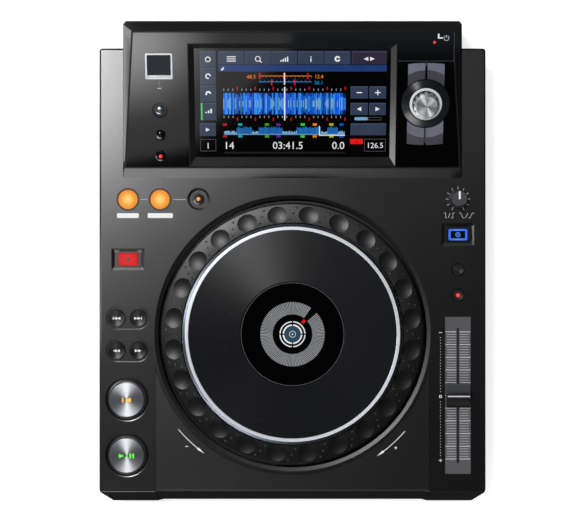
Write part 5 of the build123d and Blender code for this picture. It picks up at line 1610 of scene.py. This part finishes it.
    def _meter(self, sheet: Inlay) -> None:
        """Adds the two beat lines over the wave, and the beats above and under it.

        Args:
            sheet: The piece that they belong to.
        """
        for y, shade, way in self.meters:
            sheet.bar(-26.2, y - 0.3, 14.9, y + 0.3, lit(shade, 0.75))
            for k in range(13):
                x = -24.5 + k * 3.2 - way * 0.8
                sheet.bar(x, y + way - 0.7, x + 0.5, y + way + 0.7, lit(Ink.PLUM_EDGE, 1.1), 1)
        for x, y in self.red_beats:
            sheet.bar(x - 0.5, y - 2.4, x + 0.5, y + 2.4, lit(Ink.RED, 0.8), 2)
        sheet.bar(-6.7, 66.2, -5.7, 75.4, lit(Ink.WHITE), 4)
        sheet.figures("48.3", -28.6, 71.0, 3.0, lit(Ink.ORANGE, 0.9), "RIGHT")
        sheet.figures("12.4", 17.0, 71.2, 3.0, lit(Ink.ORANGE, 0.9))
        sheet.figures("36.1", 17.0, 66.4, 3.0, lit(Ink.CYAN, 0.95))
        for red_y, grey_y in self.beat_rows:
            for k in range(self.beats):
                x = self.track[0] + k * self.beat_pitch
                if k % 4 == 3:
                    sheet.bar(x - 0.45, red_y - 1.3, x + 0.45, red_y + 1.3, lit(Ink.DEEP_RED, 1.2))
                else:
                    sheet.bar(x - 0.3, grey_y - 0.8, x + 0.3, grey_y + 0.8, lit(Ink.SILVER, 0.8))

    def _wave(self, sheet: Inlay) -> None:
        """Adds the moving wave in columns, and the line where the music is.

        Args:
            sheet: The piece that they belong to.
        """
        dice = random.Random(11)
        y, half, step = self.wave_y, self.wave_half, self.wave_step
        for k in range(self.wave_columns):
            x = self.wave_left + k * step
            shade, strength = self.wave_shades[dice.randrange(len(self.wave_shades))]
            tall = half * (1.0 if dice.random() > 0.35 else 0.55 + 0.4 * dice.random())
            sheet.bar(x, y - half, x + step, y + half, lit(Ink.NAVY, 0.5))
            sheet.bar(x, y - tall, x + step, y + tall, lit(shade, strength), 1)
            if dice.random() > 0.62:
                core = tall * (0.25 + 0.35 * dice.random())
                sheet.bar(x, y - core, x + step * 0.8, y + core, lit(Ink.PALE_BLUE, 0.75), 2)
        sheet.bar(-6.6, 37.9, -5.6, 64.4, lit(Ink.WHITE), 6)

    def _overview(self, sheet: Inlay) -> None:
        """Adds the small wave of the whole track, with its marked points.

        Args:
            sheet: The piece that they belong to.
        """
        dice = random.Random(5)
        left, base = self.track
        sheet.bar(left, base - 0.9, 41.0, base - 0.1, lit(Ink.PALE_BLUE, 0.55))
        for k in range(self.track_columns):
            x = left + k * self.track_step
            inside = any(start <= x <= end for start, end in self.loud)
            tall = (4.2 + 1.5 * dice.random()) if inside else (0.7 + 1.8 * dice.random())
            shade = lit(Ink.SEA, 1.0 + 0.3 * dice.randrange(2)) if inside else lit(Ink.PALE_BLUE, 0.8)
            sheet.bar(x, base, x + self.track_step, base + tall, shade)
        for x, shade in self.points:
            for low, high in self.point_rows:
                sheet.bar(x - self.point_half, low, x + self.point_half, high, lit(shade, 0.85))
        sheet.bar(20.8, 26.2, 21.5, 33.4, lit(Ink.WHITE), 2)
        sheet.bar(20.8, 25.6, 41.2, 26.4, lit(Ink.WHITE, 0.9), 2)
        sheet.slab(oblong(-53.8, 11.3, 41.4, 12.7, 0.6), lit(Ink.SHADE))

    def _numbers(self, sheet: Inlay) -> None:
        """Adds the numbers under the waves."""
        for text, x, align in (("14", -54.0, "LEFT"), ("03:41.5", -3.6, "CENTER"), ("0.0", 41.0, "RIGHT")):
            sheet.figures(text, x, self.number_y, self.number_height, lit(Ink.WHITE), align)


@dataclass
class RotaryControl:
    """Selector knob with its rings and the four keys round it."""

    top: Place = (103.7, 51.9, 13.3)
    keys: tuple[str, ...] = ("back_key", "tag_key", "filter_key", "shortcut_key")

    def build(self) -> None:
        """Dresses the selector."""
        dress("rotary_knob", Turned("selector_metal", (206, 208, 212), (228, 230, 232), 0.5,
                                    tuple(PANEL.at(*self.top) / MM), tilt=PANEL_TILT, grooves=0.35,
                                    relief=0.002, anisotropy=0.9))
        dress("rotary_ring", Moulded("ring_satin", (228, 230, 233), (240, 241, 243), 0.3, grain=0.8,
                                     relief=0.003, metallic=0.15))
        dress_all({"rotary_collar": COLLAR, "rotary_encoder": STEEL, "encoder_rotor": SOCKET})
        dress_all(dict.fromkeys(self.keys, SLATE))


@dataclass
class SoftBox:
    """One lamp with a flat face. Its sizes are metres."""

    name: str
    place: Place
    aim: Place
    width: float
    depth: float
    radiance: float

    def build(self) -> None:
        """Adds the lamp. Its power follows from its radiance and its size."""
        lamp = bpy.data.lights.new(self.name, "AREA")
        lamp.shape, lamp.size, lamp.size_y = "RECTANGLE", self.width, self.depth
        lamp.energy = self.radiance * math.pi * self.width * self.depth
        holder = bpy.data.objects.new(self.name, lamp)
        bpy.context.scene.collection.objects.link(holder)
        holder.location = self.place
        aim = Vector(self.aim) - Vector(self.place)
        holder.rotation_mode = "QUATERNION"
        holder.rotation_quaternion = aim.to_track_quat("-Z", "Y")
        holder.visible_camera = False
        LOG.info("lamp %s", self.name)


@dataclass
class Card:
    """Glowing card that only mirrors show. Its sizes are metres.

    Its light changes smoothly over a span of one measure: the distance from a centre, or the place along
    an axis.
    """

    name: str
    corners: tuple[Place, ...]
    span: Point
    levels: Point
    axis: Place = (0.0, 1.0, 0.0)
    centre: Place | None = None
    one_sided: bool = False
    tint: Colour = (255, 255, 255)

    def build(self) -> None:
        """Adds the card."""
        form = bmesh.new()
        form.faces.new([form.verts.new(corner) for corner in self.corners])
        made, graph = blank(f"{self.name}_light")
        if self.centre:
            measure = graph.vector("LENGTH", graph.vector("SUBTRACT", graph.place(), self.centre))
        else:
            measure = graph.vector("DOT_PRODUCT", graph.place(), self.axis)
        strength = graph.ramp(measure, *self.span, *self.levels)
        surface = graph.node("ShaderNodeEmission", {"Color": linear(self.tint),
                                                    "Strength": strength}).outputs[0]
        if self.one_sided:
            back = graph.node("ShaderNodeNewGeometry").outputs["Backfacing"]
            clear = graph.node("ShaderNodeBsdfTransparent").outputs[0]
            surface = graph.node("ShaderNodeMixShader", {0: back, 1: surface, 2: clear}).outputs[0]
        graph.node("ShaderNodeOutputMaterial", {"Surface": surface})
        piece = model(self.name, form, [made])
        piece.visible_camera = False
        piece.visible_diffuse = False
        piece.visible_shadow = False
        LOG.info("card %s", self.name)


@dataclass
class Studio:
    """Pale floor, a soft lamp, graded cards, the surroundings and the camera, in metres."""

    floor_reach: float = 5.0
    floor_steps: int = 12
    floor_dark: float = 0.03
    floor_pale: float = 0.5
    camera_place: Place = (0.0004, 0.00075, 1.42)
    lens: float = 104.74
    film: float = 36.0
    lamps: tuple[SoftBox, ...] = (
        SoftBox("key_lamp", (-0.995, 0.795, 5.0), (0.0, 0.0, 0.07), 0.5, 0.5, 107.0),)
    cards: tuple[Card, ...] = (
        Card("veil_card", ((-0.005, -0.60, 1.8), (-0.005, -0.646, 1.8), (-0.207, -0.86, 1.8),
                           (-0.40, -0.90, 1.8), (-0.40, -0.60, 1.8)),
             span=(0.01, 0.215), levels=(8.2, 0.85), centre=(-0.33, -0.60, 1.8)),
        Card("front_card", ((-0.95, -1.05, 0.38), (0.3, -1.05, 0.38), (0.3, -1.05, 0.86),
                            (-0.95, -1.05, 0.86)),
             span=(-0.28, 0.16), levels=(8.0, 0.15), axis=(1.0, 0.0, 0.0)),
        Card("sky_card", ((0.37, -0.585, 1.8), (-0.005, -0.585, 1.8), (-0.005, -0.672, 1.8),
                          (0.37, -0.672, 1.8)),
             span=(-0.68, -0.61), levels=(0.0, 0.34), tint=(205, 234, 255)),
        Card("right_card", ((0.2, 0.08, 1.8), (0.2, 0.55, 1.8), (0.5, 0.55, 1.8), (0.5, 0.08, 1.8)),
             span=(0.05, 0.4), levels=(0.05, 0.85)),
        Card("bezel_card", ((-0.2, -0.07, 0.115), (-0.2, 0.045, 0.13), (-0.2, 0.045, 0.205),
                            (-0.2, -0.07, 0.19)),
             span=(0.042, -0.015), levels=(1.2, 11.0), one_sided=True),
        Card("side_card", ((-0.142, 0.08, 0.0715), (-0.1338, 0.08, 0.0715), (-0.1338, 0.178, 0.0715),
                           (-0.142, 0.178, 0.0715)),
             span=(-0.1415, -0.135), levels=(0.22, 1.05), axis=(1.0, 0.0, 0.0), one_sided=True))

    def build(self) -> None:
        """Adds the studio."""
        self._camera()
        self._floor()
        self._world()
        for light in (*self.lamps, *self.cards):
            light.build()
        bpy.context.scene.view_settings.view_transform = "Standard"

    def _camera(self) -> None:
        """Adds the camera, straight above the player."""
        eye = bpy.data.cameras.new("camera")
        eye.lens, eye.sensor_width, eye.sensor_fit = self.lens, self.film, "HORIZONTAL"
        eye.clip_start, eye.clip_end = 0.05, 50.0
        holder = bpy.data.objects.new("camera", eye)
        bpy.context.scene.collection.objects.link(holder)
        holder.location = self.camera_place
        bpy.context.scene.camera = holder

    def _floor(self) -> None:
        """Adds the floor: white with a soft shadow, and in gloss pale only behind on the left."""
        form = bmesh.new()
        r, steps = self.floor_reach, self.floor_steps
        grid = [[form.verts.new((-r + 2 * r * i / steps, -r + 2 * r * j / steps, 0.0))
                 for j in range(steps + 1)] for i in range(steps + 1)]
        for i in range(steps):
            for j in range(steps):
                form.faces.new((grid[i][j], grid[i + 1][j], grid[i + 1][j + 1], grid[i][j + 1]))
        made, graph = blank("floor_white")
        place = graph.place()
        tone = graph.mix(graph.noise(place, scale=3.0), linear((236, 236, 236)), linear((242, 242, 242)))
        seen = graph.node("ShaderNodeLightPath").outputs["Is Camera Ray"]
        paint = graph.node("ShaderNodeBsdfDiffuse", {
            "Color": graph.mix(seen, (self.floor_dark,) * 3 + (1.0,), tone)})
        parts = graph.node("ShaderNodeSeparateXYZ", {0: place}).outputs
        beside = graph.math("MULTIPLY", graph.ramp(parts["X"], -0.135, -0.165),
                            graph.ramp(parts["Y"], 0.0, 0.1))
        glow = graph.node("ShaderNodeMix", {0: seen, 2: beside, 3: self.floor_pale}).outputs[0]
        light = graph.node("ShaderNodeEmission", {"Color": (1.0,) * 4, "Strength": glow})
        both = graph.node("ShaderNodeAddShader", {0: paint.outputs[0], 1: light.outputs[0]})
        graph.node("ShaderNodeOutputMaterial", {"Surface": both.outputs[0]})
        model("floor", form, [made])

    def _world(self) -> None:
        """Adds the surroundings: even light, and in gloss pale low on the left and dark overhead."""
        world = bpy.data.worlds.new("surroundings")
        bpy.context.scene.world = world
        world.use_nodes = True
        world.node_tree.nodes.clear()
        graph = Graph(world.node_tree)
        way = graph.node("ShaderNodeTexCoord").outputs["Generated"]
        parts = graph.node("ShaderNodeSeparateXYZ", {0: way}).outputs
        rays = graph.node("ShaderNodeLightPath").outputs
        band = graph.math("MULTIPLY", graph.ramp(parts["Z"], 0.3, 0.66, 1.0, 0.01),
                          graph.ramp(parts["X"], -0.7, 0.6, 1.3, 0.1))
        level = graph.node("ShaderNodeMix", {0: rays["Is Glossy Ray"], 2: 0.7, 3: band}).outputs[0]
        seen = graph.node("ShaderNodeMix", {0: rays["Is Camera Ray"], 2: level, 3: 1.0}).outputs[0]
        light = graph.node("ShaderNodeBackground", {"Color": (1.0,) * 4, "Strength": seen})
        graph.node("ShaderNodeOutputWorld", {"Surface": light.outputs[0]})


def blank(name: str) -> tuple[bpy.types.Material, Graph]:
    """Makes an empty material.

    Args:
        name: Its name.

    Returns:
        The material and its tree.
    """
    made = bpy.data.materials.new(name)
    made.use_nodes = True
    made.node_tree.nodes.clear()
    return made, Graph(made.node_tree)


def main() -> None:
    """Builds every sub-assembly in order and logs each one."""
    logging.basicConfig(level=logging.INFO, format="%(name)s: %(message)s")
    for assembly in (Studio(), Casework(), DeckPrints(), LoopControls(), Transport(), TempoControls(),
                     JogWheel(), DisplayUnit(), Screen(), RotaryControl()):
        assembly.build()
        LOG.info("built %s", type(assembly).__name__)


if __name__ == "__main__":
    main()
